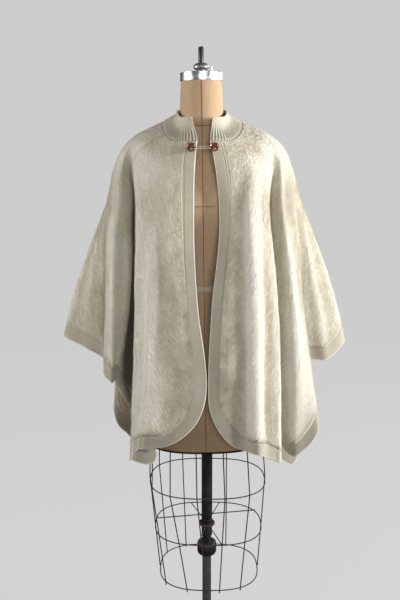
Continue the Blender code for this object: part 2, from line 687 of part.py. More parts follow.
def button_and_loop(horn, cord):
    profile = (
        (SHANK_RADIUS, 0.0),
        (SHANK_RADIUS, SHANK_LENGTH),
        (BUTTON_RADIUS * 0.82, SHANK_LENGTH + 0.0002),
        (BUTTON_RADIUS, SHANK_LENGTH + BUTTON_THICK * 0.32),
        (BUTTON_RADIUS * 0.97, SHANK_LENGTH + BUTTON_THICK * 0.62),
        (BUTTON_RADIUS * 0.72, SHANK_LENGTH + BUTTON_THICK * 0.95),
        (BUTTON_RADIUS * 0.58, SHANK_LENGTH + BUTTON_THICK),
        (BUTTON_RADIUS * 0.44, SHANK_LENGTH + BUTTON_THICK * 0.72),
        (BUTTON_RADIUS * 0.22, SHANK_LENGTH + BUTTON_THICK * 0.66),
    )
    seats = button_places()
    facing = sum(normal for _, normal in seats)
    facing /= np.linalg.norm(facing)
    across = seats[1][0] - seats[0][0]
    across -= facing * across.dot(facing)
    across /= np.linalg.norm(across)
    upward = np.cross(facing, across)
    turn = np.stack([across, upward, facing], axis=1)
    stand = SEAM_GAP
    # Both shanks stand square to one plane, the higher seat's, so that the loop lies flat.
    level = max(point.dot(facing) for point, _ in seats) + stand
    centres = []
    for word, (point, _) in zip(("right", "left"), seats):
        foot = point.dot(facing) + stand - level
        own = [(profile[0][0], foot)] + list(profile[1:])
        centre = point + facing * (level - point.dot(facing))
        rings = turned_rings(own, 20) @ turn.T + centre
        loft_object("button_" + word, rings, horn)
        centres.append(centre)
    bend = SHANK_RADIUS + LOOP_RADIUS + LOOP_CLEAR
    gap = np.linalg.norm(centres[1] - centres[0])
    height = LOOP_RADIUS + 2 * SEAM_GAP
    arc = np.linspace(-math.pi / 2, math.pi / 2, 7)
    right_end = [(gap + bend * math.cos(t), bend * math.sin(t)) for t in arc]
    left_end = [(-bend * math.cos(t), -bend * math.sin(t)) for t in arc]
    between = np.linspace(0.15, 0.85, 5)
    strand = [(gap * t, LOOP_PINCH + (bend - LOOP_PINCH) * abs(2 * t - 1) ** 2) for t in between]
    upper = strand[::-1]
    lower = [(x, -y) for x, y in strand]
    outline = right_end + upper + left_end + lower
    points = [centres[0] + across * x + upward * y + facing * height for x, y in outline]
    rod_object("closure_loop", np.array(points), LOOP_RADIUS, cord, closed=True)


# Dress form

def lean_matrix():
    there = Matrix.Translation((0, 0, LEAN_Z))
    return there @ Matrix.Rotation(LEAN, 4, "Y") @ there.inverted()


def form_pieces(linen, black, steel):
    lean = lean_matrix()
    rings = []
    for row in rows_of(TORSO_COLUMNS, TORSO):
        x, y = oval(row["half_width"], row["front"], row["back"], row["square"], TORSO_SIDES)
        rings.append(np.column_stack([x, y, np.full(TORSO_SIDES, row["z"])]))
    loft_object("torso", np.array(rings), linen, lean)

    bottom = rows_of(TORSO_COLUMNS, TORSO)[0]
    top_z = bottom["z"] - SEAM_GAP
    x, y = oval(
        bottom["half_width"] + RIM_OUT, bottom["front"] + RIM_OUT, bottom["back"] + RIM_OUT,
        bottom["square"], TORSO_SIDES,
    )
    levels = (top_z - RIM_THICK, top_z)
    rings = [np.column_stack([x, y, np.full(TORSO_SIDES, z)]) for z in levels]
    loft_object("hip_rim", np.array(rings), black, lean)

    cap_z = TORSO[-1][0] + SEAM_GAP
    profile = (
        (CAP_RADIUS - 0.0006, cap_z),
        (CAP_RADIUS, cap_z + 0.0006),
        (CAP_RADIUS, cap_z + CAP_HEIGHT - 0.0025),
        (CAP_RADIUS - 0.0025, cap_z + CAP_HEIGHT),
        (CAP_RADIUS - 0.0200, cap_z + CAP_HEIGHT + CAP_DOME),
    )
    loft_object("neck_cap", turned_rings(profile, 32), steel, lean)

    nut_z = profile[-1][1] + SEAM_GAP
    profile = (
        (NUT_RADIUS * 0.52, nut_z),
        (NUT_RADIUS * 0.54, nut_z + NUT_HEIGHT * 0.18),
        (NUT_RADIUS * 0.88, nut_z + NUT_HEIGHT * 0.30),
        (NUT_RADIUS, nut_z + NUT_HEIGHT * 0.46),
        (NUT_RADIUS * 0.97, nut_z + NUT_HEIGHT * 0.70),
        (NUT_RADIUS * 0.74, nut_z + NUT_HEIGHT * 0.90),
        (NUT_RADIUS * 0.46, nut_z + NUT_HEIGHT),
    )
    loft_object("cap_nut", turned_rings(profile, 16), steel, lean)

    rod_z = profile[-1][1] + SEAM_GAP
    profile = (
        (ROD_RADIUS, rod_z),
        (ROD_RADIUS, ROD_TOP_Z - 0.0015),
        (ROD_RADIUS - 0.0015, ROD_TOP_Z),
    )
    loft_object("cap_rod", turned_rings(profile, 12), black, lean)

    pin_z = cap_z + CAP_HEIGHT + CAP_DOME + SEAM_GAP
    profile = ((PIN_RADIUS, pin_z), (PIN_RADIUS, pin_z + PIN_HEIGHT))
    rings = turned_rings(profile, 8) + (PIN_X, 0.0, 0.0)
    loft_object("cap_pin", rings, steel, lean)


def hoop_point(hoop, ratio, side):
    """Point of a hoop at a share of its half width, and its outward direction there."""
    x = hoop["half_width"] * ratio
    y = hoop["half_depth"] * side * (1 - abs(ratio) ** HOOP_SQUARE) ** (1 / HOOP_SQUARE)
    slope_x = signed_power(ratio, HOOP_SQUARE - 1) / hoop["half_width"]
    slope_y = signed_power(y / hoop["half_depth"], HOOP_SQUARE - 1) / hoop["half_depth"]
    outward = np.array([slope_x, slope_y, 0.0])
    return np.array([hoop["x"] + x, y, hoop["z"]]), outward / np.linalg.norm(outward)


def cage_pieces(rust):
    hoops = rows_of(HOOP_COLUMNS, HOOPS)
    for hoop in hoops:
        x, y = oval(hoop["half_width"], hoop["half_depth"], hoop["half_depth"], HOOP_SQUARE, 36)
        points = np.column_stack([x + hoop["x"], y, np.full(36, hoop["z"])])
        rod_object(hoop["name"], points, HOOP_RADIUS, rust, closed=True)

    # Each upright runs down outside the hoops from the underside of the hip rim.
    apart = 2 * HOOP_RADIUS + SEAM_GAP / 2
    rim_z = TORSO[0][0] - RIM_THICK - 2 * SEAM_GAP
    top_hoop, bottom_hoop = hoops[0], hoops[-1]
    fall = top_hoop["z"] - bottom_hoop["z"]
    for wire in rows_of(WIRE_COLUMNS, WIRES):
        points = []
        for hoop in hoops:
            share = (top_hoop["z"] - hoop["z"]) / fall
            ratio = wire["top"] + (wire["bottom"] - wire["top"]) * share
            point, outward = hoop_point(hoop, ratio, wire["side"])
            points.append(point + outward * apart)
        head = points[0] * HEAD_IN
        head[0] += HEAD_SHIFT
        head[2] = rim_z - SEAM_GAP - LEAN * head[0]
        foot = points[-1].copy()
        foot[2] -= FOOT_DROP
        path = np.array([head, *points, foot])
        rod_object(wire["name"], path, HOOP_RADIUS, rust)

    # A straight wire lies across the middle hoop behind the post, over the two back arms.
    middle = hoops[1]
    ends = []
    for sign, y in ((-1, BRACE_RIGHT_Y), (1, BRACE_LEFT_Y)):
        ratio = (1 - (y / middle["half_depth"]) ** HOOP_SQUARE) ** (1 / HOOP_SQUARE)
        reach = middle["half_width"] * ratio + HOOP_RADIUS
        ends.append((middle["x"] + sign * reach, y, middle["z"] + 2 * HOOP_RADIUS + SEAM_GAP / 2))
    rod_object("brace_wire", np.array(ends), HOOP_RADIUS, rust)

    # A ring round the post carries four short arms out to the middle hoop.
    ring = bpy.data.meshes.new("brace_ring")
    inner, outer = SLEEVE_RADIUS + RING_CLEAR, RING_RADIUS
    low, high = middle["z"] - RING_THICK / 2, middle["z"] + RING_THICK / 2
    rings = turned_rings(((inner, low), (outer, low), (outer, high), (inner, high)), SIDES)
    numbers = np.arange(4 * SIDES).reshape(4, SIDES)
    closed = np.concatenate([numbers, numbers[:, :1]], axis=1)
    faces = []
    for i in range(4):
        faces += strip_faces(closed[(i + 1) % 4], closed[i])
    ring.from_pydata([tuple(point) for point in rings.reshape(-1, 3)], [], faces)
    add_object("brace_ring", ring, rust)
    for arm in rows_of(ARM_COLUMNS, ARMS):
        ratio = (arm["x"] - middle["x"]) / middle["half_width"]
        point, outward = hoop_point(middle, ratio, arm["side"])
        far = point - outward * (1.75 * HOOP_RADIUS)
        near = far * (1, 1, 0)
        near = near / np.linalg.norm(near) * (RING_RADIUS + SEAM_GAP)
        near[2] = middle["z"]
        rod_object(arm["name"], np.array([near, far]), HOOP_RADIUS, rust)


def post_pieces(black, steel, iron):
    top_z = TORSO[0][0] - RIM_THICK - 2 * SEAM_GAP
    profile = ((SLEEVE_RADIUS, SLEEVE_BOTTOM_Z), (SLEEVE_RADIUS, top_z - 0.0006))
    loft_object("post_sleeve", turned_rings(profile), black)
    collar = (
        (POLE_RADIUS + 0.004, COLLAR_BOTTOM_Z),
        (COLLAR_RADIUS - 0.003, COLLAR_BOTTOM_Z + 0.003),
        (COLLAR_RADIUS, COLLAR_BOTTOM_Z + 0.008),
        (COLLAR_RADIUS, COLLAR_TOP_Z - 0.006),
        (COLLAR_RADIUS - 0.004, COLLAR_TOP_Z),
        (POLE_RADIUS, COLLAR_TOP_Z),
        (POLE_RADIUS, SLEEVE_BOTTOM_Z - SEAM_GAP),
    )
    loft_object("sleeve_collar", turned_rings(collar), black)
    profile = (
        (POLE_RADIUS, FOOT_BOSS_TOP + SEAM_GAP),
        (POLE_RADIUS, COLLAR_BOTTOM_Z - SEAM_GAP),
    )
    loft_object("post_pole", turned_rings(profile), steel)
    foot = (
        (FOOT_RADIUS - 0.002, 0.0),
        (FOOT_RADIUS, 0.002),
        (FOOT_RADIUS, FOOT_EDGE),
        (FOOT_RADIUS - 0.006, FOOT_EDGE + 0.004),
        (FOOT_BOSS_RADIUS + 0.060, 0.0240),
        (FOOT_BOSS_RADIUS + 0.006, 0.0310),
        (FOOT_BOSS_RADIUS, 0.0380),
        (FOOT_BOSS_RADIUS - 0.004, FOOT_BOSS_TOP),
    )
    loft_object("foot_plate", turned_rings(foot, 40), iron)


def main():
    for old in list(bpy.data.objects):
        bpy.data.objects.remove(old, do_unlink=True)
    wool = material("brushed wool", (0.68, 0.64, 0.53), 0.95)
    knit = material("rib knit", (0.66, 0.61, 0.49), 0.9)
    horn = material("horn", (0.24, 0.07, 0.03), 0.3)
    cord = material("cord", (0.75, 0.68, 0.55), 0.8)
    linen = material("linen", (0.62, 0.42, 0.26), 0.85)
    black = material("black paint", (0.02, 0.02, 0.022), 0.45)
    steel = material("steel", (0.62, 0.63, 0.65), 0.3, 1.0)
    rust = material("rusted wire", (0.07, 0.05, 0.04), 0.7, 0.6)
    iron = material("cast iron", (0.035, 0.035, 0.037), 0.6, 0.7)
    front_pieces("right", False, CORNER_RIGHT, wool, knit)
    front_pieces("left", True, CORNER_LEFT, wool, knit)
    back_pieces(wool, knit)
    collar_piece(knit)
    button_and_loop(horn, cord)
    form_pieces(linen, black, steel)
    cage_pieces(rust)
    post_pieces(black, steel, iron)


main()
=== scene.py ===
# Brushed wool cape on a limbless dress form: surfaces, fibres and finishes.
# Metres, +Z up. The front faces -Y and the wearer's left is +X.

import math

import bpy
import numpy as np
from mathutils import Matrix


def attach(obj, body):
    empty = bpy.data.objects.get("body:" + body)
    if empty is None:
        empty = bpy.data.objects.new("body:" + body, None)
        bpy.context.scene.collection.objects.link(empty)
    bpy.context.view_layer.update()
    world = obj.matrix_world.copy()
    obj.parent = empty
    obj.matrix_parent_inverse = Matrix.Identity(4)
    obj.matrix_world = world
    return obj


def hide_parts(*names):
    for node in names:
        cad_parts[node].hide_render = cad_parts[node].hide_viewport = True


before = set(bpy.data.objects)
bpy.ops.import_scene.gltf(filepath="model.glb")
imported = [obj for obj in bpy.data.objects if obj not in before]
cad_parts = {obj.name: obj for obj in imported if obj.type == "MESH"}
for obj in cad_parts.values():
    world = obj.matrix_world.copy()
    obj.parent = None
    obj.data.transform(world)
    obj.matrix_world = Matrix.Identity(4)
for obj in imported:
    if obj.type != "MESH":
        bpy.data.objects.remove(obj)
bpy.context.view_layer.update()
print("frame loaded")

# Sizes that belong to the whole cape
cape = {
    "cloth": 0.003,          # wall of the cloth
    "sink": 0.0003,          # how far the surface lies within the solid's face, for the nap
    "seamGap": 0.0003,
    "bandSeam": 0.0002,      # gap between panel and band
    "bandWidth": 0.033,
    "bandWidthTop": 0.026,   # narrower beside the buttons
    "chestZ": 1.380,         # heights of the table's chest, waist and hip places
    "waistZ": 1.120,
    "hipZ": 0.985,
    "rightCorner": (0.125, 0.200),   # width and height of the rounded lower corner
    "leftCorner": (0.105, 0.160),
    "rows": 15,              # rows of the coarse cape from neck to hem
    "crowding": 1.25,        # above 1 sets the rows closer near the neck
    "fineness": 6,           # places between two columns or rows of the coarse cape
    "hemBlend": 0.09,        # length over which the band turns from corner to hem
    "leastLean": 0.75,
    "edgeRound": 0.0009,     # rounding at a free edge and at a seam
    "seamRound": 0.0001,
    "calmRounds": 160,       # rounds of smoothing against which a hollow's depth is measured
}

neckSeam = {
    "x": -0.0145, "halfWidth": 0.1025, "front": 0.100, "back": 0.078, "square": 2.5,
    "throatZ": 1.544, "sideRise": 0.046, "napeRise": 0.026,
}

# Lines from collar seam to hem in millimetres, from the right front edge round the back to
# the left front edge: name, degrees on the neck, steps, shoulder xyz, chest xy, waist xy, hem xyz
foldColumns = (
    "name", "neck", "steps",
    "shoulderX", "shoulderY", "shoulderZ", "chestX", "chestY", "waistX", "waistY",
    "hemX", "hemY", "hemZ",
)
folds = (
    ("rightEdge", 4, 0, -31, -118, 1500, -34.5, -132, -23, -150, -4, -150, 748),
    ("rightBand", 16, 0, -56, -118, 1500, -58.5, -136, -48, -153, -30, -155, 751),
    ("rightPanel", 32, 2, -100, -112, 1500, -105, -141, -100, -154, -103, -158, 753),
    ("rightRidge", 46, 3, -140, -95, 1505, -144, -124, -153, -148, -180, -154, 757),
    ("rightTurn", 57, 3, -172, -72, 1515, -181, -85, -182, -115, -204, -127, 713),
    ("rightValley", 65, 3, -180, -53, 1526, -179, -36, -179, -60, -147, -104, 742),
    ("rightWall", 71, 3, -186, -44, 1533, -197, -43, -202, -50, -227, -66, 877),
    ("rightSideRidge", 77, 2, -196, -35, 1538, -231, -64, -250, -87, -257, -86, 917),
    ("rightContour", 82, 2, -200, -26, 1540, -250, -50, -271, -60, -278, -70, 933),
    ("rightNook", 87, 2, -203, -16, 1542, -262, -20, -274, -18, -281, -20, 956),
    ("rightFlap", 92, 2, -204, -5, 1543, -266, 4, -324, 0, -340, 0, 989),
    ("rightTip", 98, 2, -204, 8, 1543, -271, 30, -371, 30, -400, 30, 1014),
    ("rightFlapBack", 106, 2, -201, 25, 1541, -262, 50, -335, 62, -352, 66, 1006),
    ("rightSideBack", 115, 2, -199, 40, 1535, -240, 66, -288, 88, -300, 100, 945),
    ("rightTuckBack", 123, 2, -194, 50, 1530, -221, 76, -256, 104, -262, 116, 862),
    ("rightCrestBack", 131, 2, -186, 59, 1526, -203, 84, -238, 106, -272, 92, 772),
    ("rightValleyBack", 142, 3, -164, 73, 1517, -174, 94, -198, 112, -236, 102, 687),
    ("rightRidgeBack", 155, 3, -115, 92, 1512, -120, 114, -135, 156, -140, 170, 642),
    ("rightHollowBack", 168, 3, -62, 101, 1512, -64, 118, -68, 138, -66, 150, 632),
    ("middleBack", 180, 3, -14, 104, 1512, -13, 122, -5, 158, 0, 172, 625),
    ("leftHollowBack", 192, 3, 33, 101, 1512, 38, 118, 52, 138, 66, 150, 620),
    ("leftRidgeBack", 205, 3, 86, 92, 1512, 94, 114, 120, 156, 138, 168, 620),
    ("leftValleyBack", 218, 2, 136, 73, 1517, 148, 94, 182, 112, 212, 102, 618),
    ("leftCrestBack", 229, 2, 157, 59, 1526, 176, 84, 218, 106, 274, 108, 614),
    ("leftTuckBack", 237, 2, 164, 50, 1532, 195, 76, 238, 108, 290, 120, 750),
    ("leftSideBack", 245, 2, 169, 40, 1540, 216, 66, 268, 90, 302, 100, 900),
    ("leftFlapBack", 254, 2, 173, 25, 1546, 240, 50, 316, 62, 338, 66, 988),
    ("leftTip", 262, 2, 173, 8, 1552, 253, 30, 353, 30, 384, 30, 1002),
    ("leftFlap", 268, 2, 173, -5, 1552, 243, 4, 302, 0, 333, 0, 955),
    ("leftNook", 273, 3, 171, -16, 1550, 228, -14, 258, -14, 275, -8, 938),
    ("leftContour", 279, 2, 168, -28, 1546, 209, -45, 247, -60, 303, -70, 775),
    ("leftMiddle", 285, 2, 163, -40, 1540, 191, -60, 221, -88, 246, -75, 704),
    ("leftValley", 292, 2, 151, -54, 1528, 154, -42, 171, -58, 196, -68, 735),
    ("leftTurn", 301, 3, 143, -70, 1515, 153, -92, 178, -110, 196, -125, 708),
    ("leftDip", 311, 2, 126, -84, 1508, 132, -124, 148, -136, 161, -146, 726),
    ("leftRidge", 321, 2, 103, -100, 1502, 106, -143, 116, -158, 131, -163, 747),
    ("leftHollow", 333, 2, 70, -110, 1500, 72, -132, 62, -147, 65, -148, 744),
    ("leftBand", 344, 0, 40, -117, 1500, 50, -136, 32, -153, 29, -155, 751),
    ("leftEdge", 353, 0, 14, -118, 1500, 27, -132, 8, -150, 4, -150, 748),
)
hips = {
    "rightEdge": (-5, -152), "rightBand": (-31, -155), "leftBand": (27, -155), "leftEdge": (1.5, -152),
}


# Shared maths

def signedPower(value, power):
    # |value| to a power, with the value's own sign
    return np.sign(value) * np.abs(value) ** power


def smooth(value):
    # 3t^2 - 2t^3 of the value held between 0 and 1
    t = np.clip(value, 0.0, 1.0)
    return t * t * (3 - 2 * t)


def slopesAt(knots, values):
    # at each knot the two neighbouring rises, each weighted by the other's step
    step = np.diff(knots).reshape(-1, *[1] * (values.ndim - 1))
    rise = np.diff(values, axis=0) / step
    inner = (rise[:-1] * step[1:] + rise[1:] * step[:-1]) / (step[1:] + step[:-1])
    first = 1.5 * rise[:1] - 0.5 * inner[:1]
    last = 1.5 * rise[-1:] - 0.5 * inner[-1:]
    return np.concatenate([first, inner, last])


def hermite(t, start, leaving, end, arriving):
    # cubic between two places with given slopes:
    # (2t^3-3t^2+1)a + (t^3-2t^2+t)m + (3t^2-2t^3)b + (t^3-t^2)n
    return ((2 * t**3 - 3 * t**2 + 1) * start + (t**3 - 2 * t**2 + t) * leaving
            + (3 * t**2 - 2 * t**3) * end + (t**3 - t**2) * arriving)


def through(knots, values, at):
    # cubic from knot to knot through the values, with the slopes at the knots
    low = np.clip(np.searchsorted(knots, at, side="right") - 1, 0, len(knots) - 2)
    size = (knots[low + 1] - knots[low])[:, None]
    t = (at - knots[low])[:, None] / size
    slope = slopesAt(knots, values)
    if values.ndim == 3:
        column = np.arange(len(at))
        start, end = values[low, column], values[low + 1, column]
        out, into = slope[low, column], slope[low + 1, column]
    else:
        start, end, out, into = values[low], values[low + 1], slope[low], slope[low + 1]
    return hermite(t, start, size * out, end, size * into)


def unit(vectors):
    # each vector divided by its length
    return vectors / np.maximum(np.linalg.norm(vectors, axis=-1, keepdims=True), 1e-12)


def arcLength(points):
    # running sum of the distances between neighbouring points
    return np.concatenate([[0.0], np.linalg.norm(np.diff(points, axis=0), axis=1).cumsum()])


# The cape's surface: girth runs round it in metres of waist, fall from seam 0 to hem 1

def neckPoint(degrees):
    # squared oval whose height rises smoothly from the throat to the nape
    angle = math.radians(degrees)
    turn = 180 - abs(180 - degrees)
    side = signedPower(math.sin(angle), 2 / neckSeam["square"])
    front = signedPower(math.cos(angle), 2 / neckSeam["square"])
    depth = neckSeam["front"] if front > 0 else neckSeam["back"]
    z = neckSeam["throatZ"] + neckSeam["sideRise"] * smooth((turn - 30) / 75)
    z += neckSeam["napeRise"] * smooth((turn - 80) / 100)
    return (neckSeam["x"] - neckSeam["halfWidth"] * side, -depth * front, z)


def foldLine(row):
    # one row of the table as places from 0 to 1, points in metres, and the whole length
    points = [neckPoint(row["neck"])]
    points.append([row["shoulderX"] / 1000, row["shoulderY"] / 1000, row["shoulderZ"] / 1000])
    points.append([row["chestX"] / 1000, row["chestY"] / 1000, cape["chestZ"]])
    points.append([row["waistX"] / 1000, row["waistY"] / 1000, cape["waistZ"]])
    if row["name"] in hips:
        x, y = hips[row["name"]]
        points.append([x / 1000, y / 1000, cape["hipZ"]])
    points.append([row["hemX"] / 1000, row["hemY"] / 1000, row["hemZ"] / 1000])
    points = np.array(points, float)
    length = arcLength(points)
    return length / length[-1], points, length[-1]


foldRows = [dict(zip(foldColumns, row)) for row in folds]
foldNames = [row["name"] for row in foldRows]
foldLines = [foldLine(row) for row in foldRows]
waistPoints = np.array([[row["waistX"] / 1000, row["waistY"] / 1000] for row in foldRows])
girthAt = arcLength(waistPoints)
placeOf = dict(zip(foldNames, girthAt))
coarseDown = (np.arange(cape["rows"] + 1) / cape["rows"]) ** cape["crowding"]

# Soft creases laid over the main folds: the fold line beside which each runs, how far from it
# it starts and ends in metres, the falls where it starts and ends, width, depth (minus: trough)
creaseColumns = ("line", "from", "to", "start", "end", "width", "depth")
creases = (
    ("rightRidge", -0.001, -0.004, 0.30, 1.30, 0.007, 0.0036),
    ("rightRidge", 0.012, 0.010, 0.35, 1.20, 0.009, -0.0008),
    ("rightPanel", -0.020, 0.004, 0.66, 0.96, 0.016, -0.0046),
    ("rightPanel", 0.020, 0.022, 0.20, 0.80, 0.014, -0.0026),
    ("rightBand", 0.022, 0.030, 0.35, 0.75, 0.014, 0.0024),
    ("rightTurn", -0.012, -0.010, 0.10, 0.55, 0.010, 0.0026),
    ("rightValley", 0.000, 0.000, 0.12, 0.50, 0.013, -0.0070),
    ("rightWall", 0.000, 0.001, 0.30, 1.30, 0.017, 0.0100),
    ("rightWall", 0.026, 0.022, 0.25, 1.40, 0.019, 0.0130),
    ("rightTurn", 0.004, 0.004, 0.30, 1.15, 0.013, 0.0055),
    ("rightContour", 0.006, 0.010, 0.25, 0.85, 0.013, -0.0034),
    ("rightNook", 0.012, 0.018, 0.20, 0.75, 0.012, 0.0024),
    ("rightFlap", 0.020, 0.030, 0.45, 0.95, 0.014, -0.0028),
    ("rightSideBack", -0.010, 0.004, 0.25, 0.90, 0.018, 0.0034),
    ("rightCrestBack", 0.006, 0.018, 0.15, 0.90, 0.018, -0.0034),
    ("rightRidgeBack", 0.022, 0.030, 0.20, 0.90, 0.020, -0.0030),
    ("rightHollowBack", 0.020, 0.012, 0.30, 0.95, 0.022, 0.0034),
    ("middleBack", 0.016, 0.026, 0.18, 0.80, 0.020, -0.0032),
    ("leftHollowBack", 0.024, 0.018, 0.35, 0.95, 0.020, 0.0030),
    ("leftRidgeBack", 0.020, 0.032, 0.15, 0.85, 0.020, -0.0034),
    ("leftValleyBack", 0.014, 0.020, 0.30, 0.92, 0.016, 0.0030),
    ("leftSideBack", 0.006, -0.006, 0.25, 0.85, 0.018, 0.0032),
    ("leftFlap", 0.004, 0.010, 0.40, 1.10, 0.014, 0.0034),
    ("leftNook", -0.004, 0.004, 0.25, 0.80, 0.014, -0.0030),
    ("leftMiddle", -0.010, -0.002, 0.30, 1.10, 0.014, 0.0040),
    ("leftTurn", 0.004, 0.004, 0.20, 1.20, 0.008, 0.0034),
    ("leftDip", 0.002, 0.004, 0.34, 1.00, 0.013, -0.0040),
    ("leftRidge", -0.004, -0.004, 0.24, 1.20, 0.018, 0.0058),
    ("leftRidge", 0.034, 0.027, 0.52, 1.10, 0.013, -0.0036),
    ("leftHollow", 0.000, 0.004, 0.10, 0.85, 0.024, 0.0065),
    ("leftHollow", 0.002, 0.008, 0.55, 1.10, 0.012, 0.0030),
    ("leftHollow", 0.020, 0.022, 0.15, 0.60, 0.012, -0.0020),
)
creaseRows = [dict(zip(creaseColumns, row)) for row in creases]
# Painted shade in deep folds where hardly any light falls, and painted highlight beside them where the depth
# is plus: as above, and the depth that is added for the colour
paintedFoldShade = (
    ("rightValley", 0.012, 0.013, 0.08, 1.10, 0.014, -0.0280),
    ("rightTurn", -0.022, -0.020, 0.30, 1.20, 0.010, 0.0040),
    ("leftValley", 0.000, 0.000, 0.16, 1.15, 0.012, -0.0040),
    ("leftTurn", 0.002, 0.002, 0.30, 1.20, 0.008, 0.0030),
)
paintedFoldShadeRows = [dict(zip(creaseColumns, row)) for row in paintedFoldShade]


def capeBase(girth, fall):
    # a cubic down each fold line, then a cubic across the lines
    lines = np.stack([through(knots, points, fall) for knots, points, _ in foldLines])
    return through(girthAt, lines, girth)


def capeFrame(girth, fall, step=0.0015):
    # point, d/d girth, d/d fall and their outward cross product, from central differences
    around = (capeBase(girth + step, fall) - capeBase(girth - step, fall)) / (2 * step)
    down = (capeBase(girth, fall + step) - capeBase(girth, fall - step)) / (2 * step)
    return capeBase(girth, fall), around, down, unit(np.cross(around, down))


def foldSum(rows, girth, fall):
    # sum of depth * exp(-(distance from the crease / width)^2), tapered at both ends
    total = np.zeros(len(girth))
    for row in rows:
        along = (fall - row["start"]) / (row["end"] - row["start"])
        sway = 0.004 * np.sin(7 * along + 40 * row["width"] + placeOf[row["line"]] * 9)
        middle = placeOf[row["line"]] + row["from"] + (row["to"] - row["from"]) * along + sway
        taper = smooth(along / 0.3) * smooth((1 - along) / 0.2)
        total += row["depth"] * taper * np.exp(-((girth - middle) / row["width"]) ** 2)
    return total


def creaseHeight(girth, fall, point):
    # the creases, plus slow waves of about a millimetre
    total = foldSum(creaseRows, girth, fall)
    x, y, z = point.T
    waves = np.sin(31 * x + 17 * z + 1.1) * np.sin(23 * z - 29 * y + 0.4)
    waves += 0.6 * np.sin(67 * x - 41 * z) * np.sin(53 * y + 37 * z + 2.0)
    return (total + 0.0009 * waves) * smooth(fall / 0.12)


def moveIn(girth, fall, distance, keepFall, keepGirth):
    # place + (square to the edge) * distance, solved for girth and fall by least squares;
    # with keepGirth 1 it goes straight up the fall by distance / (cosine of the edge's slope)
    _, around, down, normal = capeFrame(girth, fall)
    along = around * np.gradient(girth)[:, None] + down * np.gradient(fall)[:, None]
    inward = unit(np.cross(normal, along))
    matrix = np.stack([around, down], axis=2)
    square = np.einsum("nij,nj->ni", np.linalg.pinv(matrix), inward) * np.reshape(distance, (-1, 1))
    downLength = np.linalg.norm(down, axis=1)
    lean = np.abs(np.sum(inward * down, axis=1)) / downLength
    above = -np.abs(distance) / downLength / np.clip(lean, cape["leastLean"], 1.0)
    change = square[:, 1] * (1 - keepGirth) + above * keepGirth
    return girth + square[:, 0] * (1 - keepGirth), fall + change * (1 - keepFall)


def closePlaces(knots, count):
    # the knots with count - 1 even places between each two
    marks = np.arange(len(knots)) * count
    return np.interp(np.arange(marks[-1] + 1), marks, knots)


def girthSteps(first, last):
    # even places round the cape, as many between two fold lines as the table says
    low, high = foldNames.index(first), foldNames.index(last)
    found = [girthAt[low]]
    for index in range(low, high):
        count = max(1, foldRows[index]["steps"])
        found.extend(np.linspace(girthAt[index], girthAt[index + 1], count + 1)[1:])
    return np.array(found)


def frontEdge(mirror, sideLine, corner):
    # down the front, then a quarter oval of corner width and height, then along the hem
    length = foldLines[-1 if mirror else 0][2]
    across, up = corner[0], corner[1] / length
    down = closePlaces(coarseDown * (1 - up), cape["fineness"])
    turn = closePlaces(np.linspace(0, math.pi / 2, 7), cape["fineness"])
    if mirror:
        hem = girthAt[-1] - girthSteps(sideLine, "leftEdge")[::-1]
    else:
        hem = girthSteps("rightEdge", sideLine)
    hem = closePlaces(np.concatenate([[across], hem[hem > across + 0.012]]), cape["fineness"])
    girth = np.concatenate([np.zeros(len(down)), across * (1 - np.cos(turn[1:])), hem[1:]])
    fall = np.concatenate([down, 1 - up * (1 - np.sin(turn[1:])), np.ones(len(hem) - 1)])
    if mirror:
        girth = girthAt[-1] - girth
    return girth, fall, len(down), len(turn)


def atSide(fall, line, gap):
    # the fold line's own girth, moved by the gap in metres
    place = np.full(len(fall), placeOf[line])
    _, around, _, _ = capeFrame(place, fall)
    return place + gap / np.linalg.norm(around, axis=1)


def innerEdge(girth, fall, sideLine, across, distance):
    # the edge moved in: straight up the fall along the hem, square to the edge elsewhere
    keepFall = 1 - smooth(fall / 0.06)
    start = girthAt[-1] if sideLine == "leftTip" else girthAt[0]
    keepGirth = smooth((np.abs(girth - start) - across) / cape["hemBlend"])
    sign = 1 if sideLine == "leftTip" else -1
    innerGirth, innerFall = moveIn(girth, fall, sign * distance, keepFall, keepGirth)
    innerFall[-1] = 1 - distance[-1] / foldLines[foldNames.index(sideLine)][2]
    return innerGirth, innerFall


def bandWidthAt(fall):
    # from the top width to the full width by a smooth step between falls 0.4 and 0.8
    grown = cape["bandWidth"] - cape["bandWidthTop"]
    return cape["bandWidthTop"] + grown * smooth((fall - 0.4) / 0.4)


def blendPatch(left, right, top, bottom, rows):
    # Coons patch: sides + ends - corners, in girth and fall
    across = (top[:, 0] - top[0, 0]) / (top[-1, 0] - top[0, 0])
    u, w = across[None, :, None], rows[:, None, None]
    sides = (1 - u) * left[:, None] + u * right[:, None]
    ends = (1 - w) * top[None] + w * bottom[None]
    corners = (1 - u) * (1 - w) * top[0] + u * (1 - w) * top[-1]
    corners = corners + (1 - u) * w * bottom[0] + u * w * bottom[-1]
    return sides + ends - corners


# Meshes

